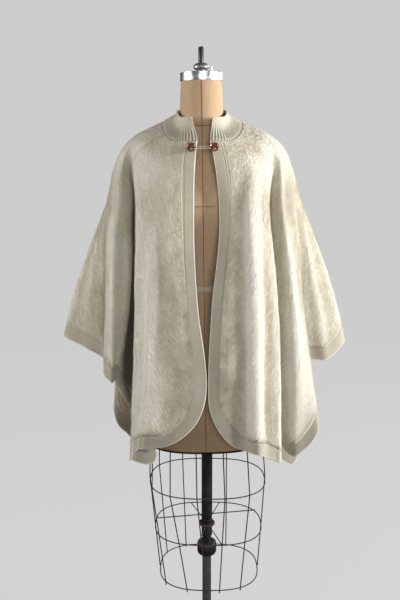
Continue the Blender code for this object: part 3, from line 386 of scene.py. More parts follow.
def gridMesh(name, points, faces, finish, uv=None, seam=None, sharp=None):
    # one mesh from whole arrays of points and faces, with a map for each of uv and seam
    mesh = bpy.data.meshes.new(name)
    mesh.vertices.add(len(points))
    mesh.vertices.foreach_set("co", np.asarray(points, np.float32).ravel())
    faces = np.asarray(faces, np.int32)
    mesh.loops.add(faces.size)
    mesh.loops.foreach_set("vertex_index", faces.ravel())
    mesh.polygons.add(len(faces))
    mesh.polygons.foreach_set("loop_start", np.arange(len(faces), dtype=np.int32) * faces.shape[1])
    mesh.update(calc_edges=True)
    for word, values in (("lay", uv), ("seam", seam)):
        if values is not None:
            layer = mesh.uv_layers.new(name=word)
            layer.data.foreach_set("uv", np.asarray(values, np.float32)[faces.ravel()].ravel())
    mesh.shade_smooth()
    mesh.validate()
    if sharp is not None:
        mesh.set_sharp_from_angle(angle=math.radians(sharp))
    piece = bpy.data.objects.new(name, mesh)
    bpy.context.scene.collection.objects.link(piece)
    mesh.materials.append(finish)
    return piece


def settle(piece, node=None):
    # every piece rides the one body; most stand for a CAD node
    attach(piece, "root")
    if node:
        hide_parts(node)
    return piece


def gridFaces(numbers, flip=False):
    # one four-sided face between each two rows and two columns of numbers
    quads = np.stack([numbers[:-1, :-1], numbers[1:, :-1], numbers[1:, 1:], numbers[:-1, 1:]], axis=2)
    quads = quads.reshape(-1, 4)
    return quads[:, ::-1] if flip else quads


def triangles(quads):
    # each four-sided face cut from its first corner to its third
    return np.concatenate([quads[:, [0, 1, 2]], quads[:, [0, 2, 3]]])


def ringTriangles(rows, sides):
    # round rings that follow each other, with a fan to a middle point at each end
    numbers = np.arange(rows * sides).reshape(rows, sides)
    closed = np.concatenate([numbers, numbers[:, :1]], axis=1)
    first = np.full(sides, rows * sides)
    low = np.stack([closed[0, 1:], closed[0, :-1], first], axis=1)
    high = np.stack([closed[-1, :-1], closed[-1, 1:], first + 1], axis=1)
    return np.concatenate([triangles(gridFaces(closed, True)), low, high])


def closedShell(name, outer, inner, finish, uv, seam=None):
    # outer and inner grids joined round their four borders
    rows, columns = outer.shape[:2]
    numbers = np.arange(rows * columns).reshape(rows, columns)
    within = numbers + rows * columns
    faces = [gridFaces(numbers), gridFaces(within, True)]
    faces.append(gridFaces(np.stack([within[0], numbers[0]])))
    faces.append(gridFaces(np.stack([numbers[-1], within[-1]])))
    faces.append(gridFaces(np.stack([within[:, 0], numbers[:, 0]], axis=1)))
    faces.append(gridFaces(np.stack([numbers[:, -1], within[:, -1]], axis=1)))
    # turned to face outward, each face still from its own first corner
    faces = np.concatenate(faces)[:, [0, 3, 2, 1]]
    points = np.concatenate([outer.reshape(-1, 3), inner.reshape(-1, 3)])
    if seam is not None:
        seam = np.concatenate([seam, seam])
    return gridMesh(name, points, faces, finish, np.concatenate([uv, uv]), seam)


def relaxed(values, rounds):
    # mean with the neighbours on a grid, repeated; it keeps the wall from crossing in a fold
    for _ in range(rounds):
        padded = np.pad(values, ((1, 1), (1, 1), (0, 0)), mode="edge")
        values = (padded[1:-1, :-2] + padded[1:-1, 2:] + padded[:-2, 1:-1] + padded[2:, 1:-1]
                  + 2 * values) / 6
    return values


def seamDistance(point, fromSide, fromBelow):
    # least of the lengths walked along the grid from the band's own sides
    across = np.linalg.norm(np.diff(point, axis=1), axis=2)
    down = np.linalg.norm(np.diff(point, axis=0), axis=2)
    far = np.full(point.shape[:2], 9.0)
    if fromSide == "first":
        far[:, 0] = 0
        far[:, 1:] = across.cumsum(axis=1)
    elif fromSide == "last":
        far[:, -1] = 0
        far[:, :-1] = across[:, ::-1].cumsum(axis=1)[:, ::-1]
    if fromBelow:
        below = np.zeros(point.shape[:2])
        below[:-1] = down[::-1].cumsum(axis=0)[::-1]
        far = np.minimum(far, below)
    return far.ravel()


def hollowOf(point, normal):
    # how far the surface stands off its own mean over the places near it, in metres:
    # minus in a hollow, plus on a crest
    calm = relaxed(point, cape["calmRounds"])
    return np.sum((point - calm) * normal, axis=2).ravel()


seamOf = {}


def clothShell(name, node, girth, fall, uv, free=(), ribs=None, seamSide=None):
    # surface + normal * (creases + ribs) outside, the same less the cloth inside; the rims in
    # free (first or last row, first or last column) are rounded, and seams are not
    napped = ribs is None
    shape = girth.shape
    point, _, _, normal = capeFrame(girth.ravel(), fall.ravel())
    height = creaseHeight(girth.ravel(), fall.ravel(), point).reshape(shape)
    point, normal = point.reshape(*shape, 3), unit(relaxed(normal.reshape(*shape, 3), 3))
    middle = point + normal * (height - cape["sink"])[..., None]
    rim = np.zeros(shape)
    rims = {"top": np.s_[0], "foot": np.s_[-1], "first": np.s_[:, 0], "last": np.s_[:, -1]}
    for word, where in rims.items():
        rim[where] = cape["edgeRound"] if word in free else cape["seamRound"]
    raised = 0 if napped else ribs
    outer = middle + normal * (raised - rim)[..., None]
    inner = middle - normal * (cape["cloth"] - rim)[..., None]
    far = seamDistance(outer, seamSide, napped)
    # depth for the painted shade in hollows (minus) and the painted highlight on crests (plus), kept in the
    # seam map
    hollow = foldSum(paintedFoldShadeRows, girth.ravel(), fall.ravel())
    if napped:
        hollow += hollowOf(outer, normal) * smooth(far / 0.04) * smooth(fall.ravel() / 0.10)
    seam = np.stack([far, hollow], axis=1)
    seamOf[name] = seam.reshape(*shape, 2)
    finish = finishes["wool" if napped else "bandKnit"]
    piece = closedShell(name, outer, inner, finish, uv.reshape(-1, 2), seam)
    return settle(piece, node)


# Materials

def newGroup(name, inputs, outputs):
    # a node group with named inputs and outputs, and its two end nodes
    group = bpy.data.node_groups.new(name, "ShaderNodeTree")
    for word, kind, value in inputs:
        made = group.interface.new_socket(word, in_out="INPUT", socket_type="NodeSocket" + kind)
        if value is not None:
            made.default_value = value
    for word, kind in outputs:
        group.interface.new_socket(word, in_out="OUTPUT", socket_type="NodeSocket" + kind)
    return group, group.nodes.new("NodeGroupInput").outputs, group.nodes.new("NodeGroupOutput").inputs


def putIn(tree, value, socket):
    # another node's output, a number, a vector, or a colour without its alpha
    if isinstance(value, bpy.types.NodeSocket):
        tree.links.new(value, socket)
    elif isinstance(value, tuple) and len(value) < len(socket.default_value):
        socket.default_value = (*value, 1.0)
    else:
        socket.default_value = value


def addNode(tree, kind, values=None, **settings):
    # a node with its settings, then the values or links of its named sockets
    node = tree.nodes.new("ShaderNode" + kind)
    for word, value in settings.items():
        setattr(node, word, value)
    for word, value in (values or {}).items():
        putIn(tree, value, node.inputs[word])
    return node


def newMaterial(name, values):
    # the values are set on the shader's own sockets
    made = bpy.data.materials.new(name)
    made.use_nodes = True
    shader = made.node_tree.nodes["Principled BSDF"]
    for word, value in values.items():
        putIn(made.node_tree, value, shader.inputs[word])
    return made, made.node_tree, shader.inputs


def mathNode(tree, operation, *values):
    # one operation on numbers or other nodes' outputs
    node = addNode(tree, "Math", operation=operation)
    for socket, value in zip(node.inputs, values):
        putIn(tree, value, socket)
    return node.outputs[0]


def times(tree, first, second):
    return mathNode(tree, "MULTIPLY", first, second)


def oneLess(tree, value):
    # 1 - value
    return mathNode(tree, "SUBTRACT", 1.0, value)


def spread(tree, value, low, high):
    # 0 at low and 1 at high, held between the two
    return addNode(tree, "MapRange", {"Value": value, "From Min": low, "From Max": high}).outputs["Result"]


def mixColour(tree, factor, first, second):
    # the first colour at 0, the second at 1
    node = addNode(tree, "Mix", data_type="RGBA")
    for socket, value in ((0, factor), (6, first), (7, second)):
        putIn(tree, value, node.inputs[socket])
    return node.outputs[2]


def noise(tree, vector, scale, detail=2.0, roughness=0.5):
    values = {"Vector": vector, "Scale": scale, "Detail": detail, "Roughness": roughness}
    return addNode(tree, "TexNoise", values).outputs["Fac"]


def grainNoise(tree, vector, scale, detail, roughness=0.5, turn=(0, 0, 0)):
    # noise that is drawn out along the axes of the lower scales
    mapped = addNode(tree, "Mapping", {"Vector": vector, "Rotation": turn, "Scale": scale})
    return noise(tree, mapped.outputs[0], 1.0, detail, roughness)


def objectVector(tree):
    return addNode(tree, "TexCoord").outputs["Object"]


def split(tree, vector):
    return addNode(tree, "SeparateXYZ", {"Vector": vector}).outputs


def mapParts(tree, name):
    # u, v and an empty third part of the piece's own map
    return split(tree, addNode(tree, "UVMap", uv_map=name).outputs["UV"])


def addBump(tree, sockets, height, strength, distance, inward=False):
    # height as bump on the shader's normal, or as dents where it goes inward
    values = {"Strength": strength, "Distance": distance, "Height": height}
    node = addNode(tree, "Bump", values, invert=inward)
    tree.links.new(node.outputs["Normal"], sockets["Normal"])


def mottleGroup():
    # broad and fine noise that lightens and darkens a colour, with a mask for bump
    group, given, out = newGroup(
        "mottle",
        (("Colour", "Color", (0.8, 0.8, 0.8, 1)), ("Dark", "Color", (0.4, 0.4, 0.4, 1)),
         ("Vector", "Vector", None), ("Broad", "Float", 12.0), ("Fine", "Float", 90.0),
         ("Amount", "Float", 0.5)),
        (("Colour", "Color"), ("Mask", "Float")),
    )
    broad = noise(group, given["Vector"], given["Broad"], 4.0)
    fine = noise(group, given["Vector"], given["Fine"], 4.0)
    both = mathNode(group, "MULTIPLY_ADD", broad, 0.55, times(group, fine, 0.45))
    mask = spread(group, both, 0.36, 0.64)
    share = times(group, mask, given["Amount"])
    group.links.new(mixColour(group, share, given["Colour"], given["Dark"]), out["Colour"])
    group.links.new(mask, out["Mask"])
    return group


def napGroup():
    # short diagonal streaks of brushed hair: noise stretched along the lie of the nap, which
    # runs down and in towards the front on both sides, with finer hair over it
    group, given, out = newGroup(
        "nap",
        (("Vector", "Vector", None), ("Lie", "Float", 0.5)),
        (("Streaks", "Float"), ("Tufts", "Float")),
    )
    x, y, z = split(group, given["Vector"])
    # |x| rounded at the middle, so that the two sides mirror without a line
    away = mathNode(group, "SQRT", mathNode(group, "MULTIPLY_ADD", x, x, 0.0004))
    slanted = mathNode(group, "SUBTRACT", away, times(group, z, given["Lie"]))
    lie = addNode(group, "CombineXYZ", {"X": slanted, "Y": y, "Z": z}).outputs[0]
    broad = grainNoise(group, lie, (230, 230, 55), 2.0, 0.55)
    fine = grainNoise(group, lie, (640, 640, 120), 2.0, 0.6)
    streaks = mathNode(group, "ADD", times(group, broad, 0.62), times(group, fine, 0.38))
    tufts = noise(group, given["Vector"], 95.0, 3.0, 0.6)
    group.links.new(spread(group, streaks, 0.34, 0.66), out["Streaks"])
    group.links.new(spread(group, tufts, 0.36, 0.64), out["Tufts"])
    return group


mottle = mottleGroup()
nap = napGroup()


def placeMottle(tree, vector, colour, dark, broad, fine, amount):
    # the mottle group with a material's own values
    values = {"Vector": vector, "Colour": colour, "Dark": dark}
    values.update({"Broad": broad, "Fine": fine, "Amount": amount})
    node = addNode(tree, "Group", values, node_tree=mottle)
    return node.outputs["Colour"], node.outputs["Mask"]


def placeNap(tree, vector):
    # the nap group, for the cloth and for its hairs alike
    node = addNode(tree, "Group", {"Vector": vector, "Lie": woolLook["lie"]}, node_tree=nap)
    return node.outputs["Streaks"], node.outputs["Tufts"]


woolLook = {
    "light": (0.695, 0.645, 0.505),
    "broad": (0.590, 0.535, 0.395),
    "dark": (0.385, 0.340, 0.240),
    # colour of the fibre tips in the tufts, and of the painted highlight on crests
    "tip": (0.86, 0.83, 0.75),
    # colour of the painted shade in deep hollows
    "deep": (0.060, 0.053, 0.034),
    "hollow": (-0.0032, -0.0190),      # depths where the painted shade of a hollow starts and is full
    # depths where the painted highlight of a crest starts and is full
    "crest": (0.0015, 0.0070),
    "paintedShadeShare": 0.96,
    "paintedHighlightShare": 0.65,
    "lie": 0.55,                       # slant of the nap
    "streakShare": 0.62,
    "tuftShare": 0.20,
    "sheen": 0.45,
    "bump": 0.8,
    "bare": (0.470, 0.430, 0.330),
    "bareWidth": (0.002, 0.014),       # distances from the band where the nap starts and is full
    "stitch": (0.150, 0.130, 0.090),
    "stitchLines": (0.0012, 0.0085),   # distances of the stitched lines from the band's seam
    "stitchShare": 0.55,
}


def foldShade(tree, colour):
    # the colour mixed towards a dark colour as painted shade in a hollow, and towards the tip colour as
    # painted highlight on a crest
    depth = mapParts(tree, "seam")[1]
    hollow = times(tree, spread(tree, depth, *woolLook["hollow"]), woolLook["paintedShadeShare"])
    crest = times(tree, spread(tree, depth, *woolLook["crest"]), woolLook["paintedHighlightShare"])
    return mixColour(tree, crest, mixColour(tree, hollow, colour, woolLook["deep"]), woolLook["tip"])


def woolMaterial():
    # mottled cloth with dark between the streaks, bare and stitched along the band, with painted shade in
    # hollows and painted highlight on crests
    look = woolLook
    made, tree, sockets = newMaterial("brushed wool", {
        "Roughness": 0.92, "Sheen Weight": look["sheen"], "Sheen Roughness": 0.45,
        "Sheen Tint": (1.0, 0.97, 0.90),
    })
    vector = objectVector(tree)
    base, _ = placeMottle(tree, vector, look["light"], look["broad"], 9.0, 60.0, 0.8)
    streaks, tufts = placeNap(tree, vector)
    distance = mapParts(tree, "seam")[0]
    napped = spread(tree, distance, *look["bareWidth"])
    share = times(tree, oneLess(tree, streaks), look["streakShare"])
    share = times(tree, share, mathNode(tree, "MULTIPLY_ADD", napped, 0.6, 0.4))
    colour = mixColour(tree, share, base, look["dark"])
    colour = mixColour(tree, times(tree, tufts, look["tuftShare"]), colour, look["tip"])
    colour = mixColour(tree, times(tree, oneLess(tree, napped), 0.8), colour, look["bare"])
    away = [mathNode(tree, "SUBTRACT", distance, line) for line in look["stitchLines"]]
    away = [mathNode(tree, "ABSOLUTE", value) for value in away]
    lines = mathNode(tree, "MAXIMUM", *[spread(tree, value, 0.0015, 0.0004) for value in away])
    colour = mixColour(tree, times(tree, lines, look["stitchShare"]), colour, look["stitch"])
    tree.links.new(foldShade(tree, colour), sockets["Base Color"])
    height = mathNode(tree, "ADD", times(tree, streaks, 0.8), times(tree, tufts, 0.4))
    height = mathNode(tree, "ADD", times(tree, height, napped), times(tree, lines, 0.5))
    addBump(tree, sockets, height, look["bump"], 0.0020)
    return made


def fibreMaterial():
    # the nap's hairs: mottled, with the same dark streaks, and the same painted shade in hollows and painted
    # highlight on crests, as the cloth under them
    made, tree, sockets = newMaterial("wool fibre", {"Roughness": 0.8, "Sheen Weight": 0.3})
    vector = objectVector(tree)
    colour, _ = placeMottle(tree, vector, (0.78, 0.73, 0.59), (0.47, 0.415, 0.29), 30.0, 300.0, 0.9)
    streaks, _ = placeNap(tree, vector)
    colour = mixColour(tree, times(tree, oneLess(tree, streaks), 0.60), colour, woolLook["dark"])
    tree.links.new(foldShade(tree, colour), sockets["Base Color"])
    return made


bandKnitLook = {
    "light": (0.495, 0.450, 0.350),
    "broad": (0.415, 0.372, 0.280),
    # colour of the painted shade in the grooves between ribs
    "dark": (0.215, 0.190, 0.130),
    "pitch": 0.0042,
    "grooveShadeShare": 0.30,
    # colour of the painted highlight along the free edge
    "edge": (0.79, 0.755, 0.675),
    "edgeHighlightWidth": 0.085,                # share of the band's width
}
collarKnitLook = {
    "light": (0.530, 0.490, 0.385),
    "broad": (0.455, 0.412, 0.312),
    # colour of the painted shade in the grooves between ribs
    "dark": (0.150, 0.125, 0.080),
    "pitch": 1.0,
    "grooveShadeShare": 0.75,
    "fade": (0.66, 0.22),              # heights where the grooves start and are full
}


def knitMaterial(name, look):
    # rib knit in the piece's own map: u along the edge, v from 0 to 1 across; the grooves between ribs get
    # painted shade, small loops run up each rib, and a painted highlight runs along the free side
    made, tree, sockets = newMaterial(name, {"Roughness": 0.88, "Sheen Weight": 0.25, "Sheen Roughness": 0.5})
    vector = objectVector(tree)
    colour, _ = placeMottle(tree, vector, look["light"], look["broad"], 14.0, 120.0, 0.7)
    u, v, _ = mapParts(tree, "lay")
    groove = spread(tree, mathNode(tree, "COSINE", times(tree, u, 2 * math.pi / look["pitch"])), 0.3, -0.9)
    if "fade" in look:
        groove = times(tree, groove, spread(tree, v, *look["fade"]))
    # painted shade in the grooves between ribs
    colour = mixColour(tree, times(tree, groove, look["grooveShadeShare"]), colour, look["dark"])
    if "edge" in look:
        # painted highlight along the free edge, then painted shade in hollows and painted highlight on crests
        # from the seam map
        edge = spread(tree, v, look["edgeHighlightWidth"], look["edgeHighlightWidth"] * 0.7)
        colour = foldShade(tree, mixColour(tree, edge, colour, look["edge"]))
    tree.links.new(colour, sockets["Base Color"])
    loops = mathNode(tree, "SINE", times(tree, v, 75.0))
    height = mathNode(tree, "ADD", times(tree, loops, 0.2), noise(tree, vector, 420.0))
    # inward, so that the ribs that the mesh raises stay soft
    addBump(tree, sockets, mathNode(tree, "SUBTRACT", height, groove), 0.5, 0.0012, True)
    return made


linenLook = {
    "light": (0.76, 0.535, 0.330),
    "dark": (0.54, 0.350, 0.200),
    # colour of the painted shade low down under the cape
    "low": (0.330, 0.205, 0.125),
    "lowZ": (1.45, 0.80),              # heights where the painted shade under the cape starts and is full
    "lowShare": 0.66,
    "high": (0.44, 0.290, 0.170),
    "highZ": (1.53, 1.60),
    "highShare": 0.75,
    "thread": 0.00095,
}


def linenMaterial():
    # plain weave from two crossed sines in the map's metres, with painted shade low down under the cape
    look = linenLook
    made, tree, sockets = newMaterial("form linen", {"Roughness": 0.86})
    vector = objectVector(tree)
    colour, _ = placeMottle(tree, vector, look["light"], look["dark"], 7.0, 70.0, 0.55)
    u, v, _ = mapParts(tree, "lay")
    warp, weft = [mathNode(tree, "SINE", times(tree, part, 2 * math.pi / look["thread"])) for part in (u, v)]
    slubs = grainNoise(tree, vector, (60, 60, 900), 2.0)
    colour = mixColour(tree, times(tree, spread(tree, slubs, 0.45, 0.7), 0.28), colour, look["dark"])
    height = split(tree, vector)[2]
    # painted shade low down under the cape, and a darker colour at the neck
    for word in ("low", "high"):
        share = times(tree, spread(tree, height, *look[word + "Z"]), look[word + "Share"])
        colour = mixColour(tree, share, colour, look[word])
    tree.links.new(colour, sockets["Base Color"])
    weave = mathNode(tree, "ADD", times(tree, warp, weft), times(tree, slubs, 2.0))
    addBump(tree, sockets, weave, 0.25, 0.0005)
    return made


def threadMaterial(name, colour, dark):
    # close mottle, with its mask as bump
    made, tree, sockets = newMaterial(name, {"Roughness": 0.75})
    shade, mask = placeMottle(tree, objectVector(tree), colour, dark, 60.0, 700.0, 0.7)
    tree.links.new(shade, sockets["Base Color"])
    addBump(tree, sockets, mask, 0.3, 0.0004)
    return made


def cordMaterial():
    # dark lines that wind round the cord: sine of its length and of the turn round it
    made, tree, sockets = newMaterial("closure cord", {"Roughness": 0.8})
    along, around, _ = mapParts(tree, "lay")
    turns = mathNode(tree, "ADD", times(tree, along, 2400.0), times(tree, around, 12.566))
    twist = spread(tree, mathNode(tree, "SINE", turns), 0.1, -1.0)
    base, _ = placeMottle(tree, objectVector(tree), (0.80, 0.74, 0.60), (0.60, 0.52, 0.38), 80.0, 800.0, 0.6)
    tree.links.new(mixColour(tree, times(tree, twist, 0.5), base, (0.42, 0.34, 0.22)), sockets["Base Color"])
    return made


hornLook = {
    "light": (0.230, 0.074, 0.024),
    "dark": (0.045, 0.012, 0.006),
    "streak": (0.34, 0.125, 0.042),
    "coatRoughness": 0.05,
    "coatIndex": 1.6,
}


def hornMaterial():
    # mottled horn with lighter streaks, rougher where it is dark, under a polished coat
    look = hornLook
    made, tree, sockets = newMaterial("polished horn", {
        "Coat Weight": 1.0, "Coat Roughness": look["coatRoughness"], "Coat IOR": look["coatIndex"],
    })
    vector = objectVector(tree)
    base, mask = placeMottle(tree, vector, look["light"], look["dark"], 110.0, 420.0, 0.85)
    streak = spread(tree, grainNoise(tree, vector, (900, 250, 250), 3.0, 0.5, (0.3, 0.2, 0.5)), 0.5, 0.75)
    tree.links.new(mixColour(tree, times(tree, streak, 0.5), base, look["streak"]), sockets["Base Color"])
    tree.links.new(mathNode(tree, "MULTIPLY_ADD", mask, 0.12, 0.16), sockets["Roughness"])
    return made


metalColumns = ("name", "colour", "dark", "roughness", "metallic", "amount", "grain", "bump", "coat")
metals = {
    "cap": ("spun cap", (0.82, 0.83, 0.84), (0.50, 0.51, 0.53), 0.27, 1.0, 0.45, (60, 60, 1500), 0.12, 0.0),
    "nut": ("cast nut", (0.50, 0.49, 0.47), (0.10, 0.09, 0.085), 0.42, 0.9, 0.9, (200, 200, 200), 0.5, 0.0),
    "pole": ("steel pole", (0.62, 0.63, 0.66), (0.28, 0.27, 0.27), 0.25, 1.0, 0.55, (900, 900, 20), 0.1, 0.0),
    "black": (
        "worn black paint", (0.008, 0.008, 0.010), (0.055, 0.048, 0.044), 0.40, 0.2, 0.35,
        (220, 220, 60), 0.35, 0.15),
    "rust": (
        "rusted wire", (0.070, 0.045, 0.034), (0.018, 0.013, 0.012), 0.62, 0.3, 0.85,
        (400, 400, 200), 0.4, 0.0),
    "iron": (
        "cast iron", (0.030, 0.030, 0.032), (0.075, 0.068, 0.06), 0.55, 0.6, 0.5,
        (160, 160, 160), 0.4, 0.0),
}


def metalMaterial(row):
    # worn metal: broad and fine mottle over the colour, rougher where it is dark
    look = dict(zip(metalColumns, row))
    values = {"Metallic": look["metallic"], "Coat Weight": look["coat"]}
    made, tree, sockets = newMaterial(look["name"], values)
    vector = objectVector(tree)
    shade, mask = placeMottle(tree, vector, look["colour"], look["dark"], 28.0, 240.0, look["amount"])
    tree.links.new(shade, sockets["Base Color"])
    rough = mathNode(tree, "MULTIPLY_ADD", mask, 0.22, look["roughness"] - 0.08)
    tree.links.new(rough, sockets["Roughness"])
    brushed = grainNoise(tree, vector, look["grain"], 3.0)
    addBump(tree, sockets, mathNode(tree, "ADD", brushed, mask), look["bump"], 0.0006)
    return made


finishes = {
    "wool": woolMaterial(),
    "bandKnit": knitMaterial("band knit", bandKnitLook),
    "collarKnit": knitMaterial("collar knit", collarKnitLook),
    "fibre": fibreMaterial(),
    "linen": linenMaterial(),
    "darkThread": threadMaterial("dark seam thread", (0.055, 0.035, 0.028), (0.02, 0.014, 0.012)),
    "tape": threadMaterial("waist tape", (0.74, 0.66, 0.54), (0.50, 0.41, 0.31)),
    "cord": cordMaterial(),
    "horn": hornMaterial(),
}
finishes.update({word: metalMaterial(row) for word, row in metals.items()})
print("finishes made")


# Panels, bands and back

def bandGrid(lines):
    # the lines across a band, set at even lengths along it: some places to each rib
    point = capeBase(*lines[len(lines) // 2])
    length = arcLength(point)
    ribs = int(round(length[-1] / bandLook["pitch"]))
    at = np.linspace(0, length[-1], ribs * bandLook["perRib"] + 1)
    girth = np.array([np.interp(at, length, line[0]) for line in lines])
    fall = np.array([np.interp(at, length, line[1]) for line in lines])
    return girth, fall, at, ribs


bandLook = {"pitch": bandKnitLook["pitch"], "perRib": 5, "height": 0.0007, "roll": 0.0006}
bandAcross = np.array([0.0, 0.03, 0.09, 0.2, 0.4, 0.6, 0.8, 0.92, 0.97, 1.0])


def bandRibs(at, across, pitch):
    # (0.5 + 0.5 cos) ridges square to the edge, fading at both long sides
    ridge = 0.5 + 0.5 * np.cos(2 * np.pi * at / pitch)
    fade = smooth(across / 0.12) * smooth((1 - across) / 0.1)
    rolled = bandLook["roll"] * np.exp(-((across - 0.05) / 0.05) ** 2)
    return bandLook["height"] * fade[:, None] * ridge[None] + rolled[:, None]


def makeBand(name, node, lines, free, turned):
    # ribbed strip through the lines, free edge first, or last where it is turned
    girth, fall, at, ribs = bandGrid(lines)
    raised = bandRibs(at, bandAcross, at[-1] / ribs)
    uv = np.stack(np.broadcast_arrays(at[None], bandAcross[:, None]), axis=2)
    way = -1 if turned else 1
    return clothShell(name, node, girth[::way], fall[::way], uv[::way], free, raised[::way])


def makeFront(word, node, mirror, corner):
    # the band along the outer edge, then the panel within it up to the side line
    sideLine = "leftTip" if mirror else "rightTip"
    halfGap = cape["seamGap"] / 2 if mirror else -cape["seamGap"] / 2
    girth, fall, straight, turning = frontEdge(mirror, sideLine, corner)
    width = bandWidthAt(fall)

    lines = [(girth, fall)]
    lines += [innerEdge(girth, fall, sideLine, corner[0], width * part) for part in bandAcross[1:]]
    for line in lines:
        line[0][-1] = atSide(line[1][-1:], sideLine, halfGap)[0]
    free = ("top", "first") if mirror else ("foot", "first")
    band = makeBand("bandFront" + word, "band_front_" + node, lines, free, not mirror)

    edge = np.stack(innerEdge(girth, fall, sideLine, corner[0], width + cape["bandSeam"]), axis=1)
    left, bottom = edge[:straight].copy(), edge[straight - 1:].copy()
    left[0, 1] = 0.0
    rows = closePlaces(coarseDown, cape["fineness"])
    topGirth = bottom[:, 0].copy()
    topGirth[:turning] = np.linspace(left[0, 0], topGirth[turning - 1], turning)
    top = np.stack([topGirth, np.zeros(len(topGirth))], axis=1)
    rightFall = rows * bottom[-1, 1]
    right = np.stack([atSide(rightFall, sideLine, halfGap), rightFall], axis=1)
    top[-1], bottom[-1] = right[0], right[-1]
    grid = blendPatch(left, right, top, bottom, rows)
    if mirror:
        grid = grid[:, ::-1]
    seamSide = "last" if mirror else "first"
    panel = clothShell("front" + word, "front_" + node, grid[..., 0], grid[..., 1], grid, seamSide=seamSide)
    return panel, band, grid


def makeBack():
    # the band along the hem, then the panel above it between the two side lines
    places = closePlaces(girthSteps("rightTip", "leftTip"), cape["fineness"])
    hem = np.ones(len(places))
    halfGap = cape["seamGap"] / 2

    def lineAbove(distance):
        if distance == 0:
            return places.copy(), hem.copy()
        girth, fall = moveIn(places, hem, np.full(len(places), -distance), np.zeros(len(places)), hem)
        fall[0] = 1 - distance / foldLines[foldNames.index("rightTip")][2]
        fall[-1] = 1 - distance / foldLines[foldNames.index("leftTip")][2]
        girth[0] = atSide(fall[:1], "rightTip", halfGap)[0]
        girth[-1] = atSide(fall[-1:], "leftTip", -halfGap)[0]
        return girth, fall

    lines = [lineAbove(cape["bandWidth"] * part) for part in bandAcross]
    band = makeBand("bandBack", "band_back", lines, ("foot",), True)

    bottom = np.stack(lineAbove(cape["bandWidth"] + cape["bandSeam"]), axis=1)
    rows = closePlaces(coarseDown, cape["fineness"])
    left = np.stack([atSide(rows * bottom[0, 1], "rightTip", halfGap), rows * bottom[0, 1]], axis=1)
    right = np.stack([atSide(rows * bottom[-1, 1], "leftTip", -halfGap), rows * bottom[-1, 1]], axis=1)
    top = np.stack([places, np.zeros(len(places))], axis=1)
    top[0], top[-1], bottom[0], bottom[-1] = left[0], right[0], left[-1], right[-1]
    grid = blendPatch(left, right, top, bottom, rows)
    panel = clothShell("backPanel", "back", grid[..., 0], grid[..., 1], grid)
    return panel, band, grid


frontRight, bandRight, rightGrid = makeFront("Right", "right", False, cape["rightCorner"])
frontLeft, bandLeft, leftGrid = makeFront("Left", "left", True, cape["leftCorner"])
backPanel, bandBack, backGrid = makeBack()
print("panels and bands made")


# Nap

napLook = {
    "seed": 7,
    "perPanel": 60000,
    "length": (0.007, 0.016),
    "width": 0.00045,
    "lift": 0.20,
    "root": 0.0006,          # how far the roots lie within the solid's face
    "slant": (0.50, 0.25),   # mean and spread of the lean towards the front
    "clear": 0.010,          # bare width beside the band
}


def makeNap(name, panelName, grid, seed):
    # one thin three-cornered hair at each random place: root, side and a tip that lies down the
    # cloth at a slant and lifts a little off it
    dice = np.random.default_rng(seed)
    count = napLook["perPanel"]
    point0 = capeBase(grid[..., 0].ravel(), grid[..., 1].ravel()).reshape(*grid.shape[:2], 3)
    stepDown = np.linalg.norm(np.diff(point0, axis=0), axis=2)[:, :-1]
    stepAcross = np.linalg.norm(np.diff(point0, axis=1), axis=2)[:-1]
    area = (stepDown * stepAcross).ravel()
    chosen = dice.choice(len(area), size=count, p=area / area.sum())
    row = chosen // stepDown.shape[1] + dice.uniform(0, 1, count)
    column = chosen % stepDown.shape[1] + dice.uniform(0, 1, count)
    lowRow, lowColumn = row.astype(int), column.astype(int)
    partRow, partColumn = (row - lowRow)[:, None], (column - lowColumn)[:, None]

    def between(values):
        left = values[lowRow, lowColumn] * (1 - partRow) + values[lowRow + 1, lowColumn] * partRow
        nextColumn = lowColumn + 1
        right = values[lowRow, nextColumn] * (1 - partRow) + values[lowRow + 1, nextColumn] * partRow
        return left * (1 - partColumn) + right * partColumn

    place, seam = between(grid), between(seamOf[panelName])
    girth, fall = place[:, 0], place[:, 1]
    point, around, down, normal = capeFrame(girth, fall)
    point = point + normal * (creaseHeight(girth, fall, point) - napLook["root"])[:, None]
    around, down = unit(around), unit(down)
    slant = dice.normal(*napLook["slant"], count) * np.where(girth > girthAt[-1] / 2, 1, -1)
    lie = unit(down + around * slant[:, None])
    length = dice.uniform(*napLook["length"], count)[:, None]
    lift = length * napLook["lift"] * dice.uniform(0.3, 1.3, count)[:, None] + napLook["root"]
    tip = point + lie * length + normal * lift
    side = unit(np.cross(normal, lie)) * napLook["width"]
    kept = seam[:, 0] > napLook["clear"]
    points = np.stack([point - side, point + side, tip], axis=1)[kept].reshape(-1, 3)
    faces = np.arange(len(points)).reshape(-1, 3)
    piece = gridMesh(name, points, faces, finishes["fibre"], None, np.repeat(seam[kept], 3, axis=0))
    return settle(piece)


makeNap("napRight", "frontRight", rightGrid, napLook["seed"])
makeNap("napLeft", "frontLeft", leftGrid, napLook["seed"] + 1)
makeNap("napBack", "backPanel", backGrid, napLook["seed"] + 2)
print("nap made")


# Collar

collarLook = {
    "ribs": 76, "ribHeight": 0.0019, "perRib": 8, "rows": 34, "gap": 0.0006,
    "rimHalfWidth": 0.0640, "rimFront": 0.0755, "rimBack": 0.0680, "rimSquare": 2.3,
    "rimZ": 1.602, "sideRise": 0.019, "napeRise": 0.012, "opening": 20.0,
    "roll": 0.0012, "edgeRound": 0.0011,
}


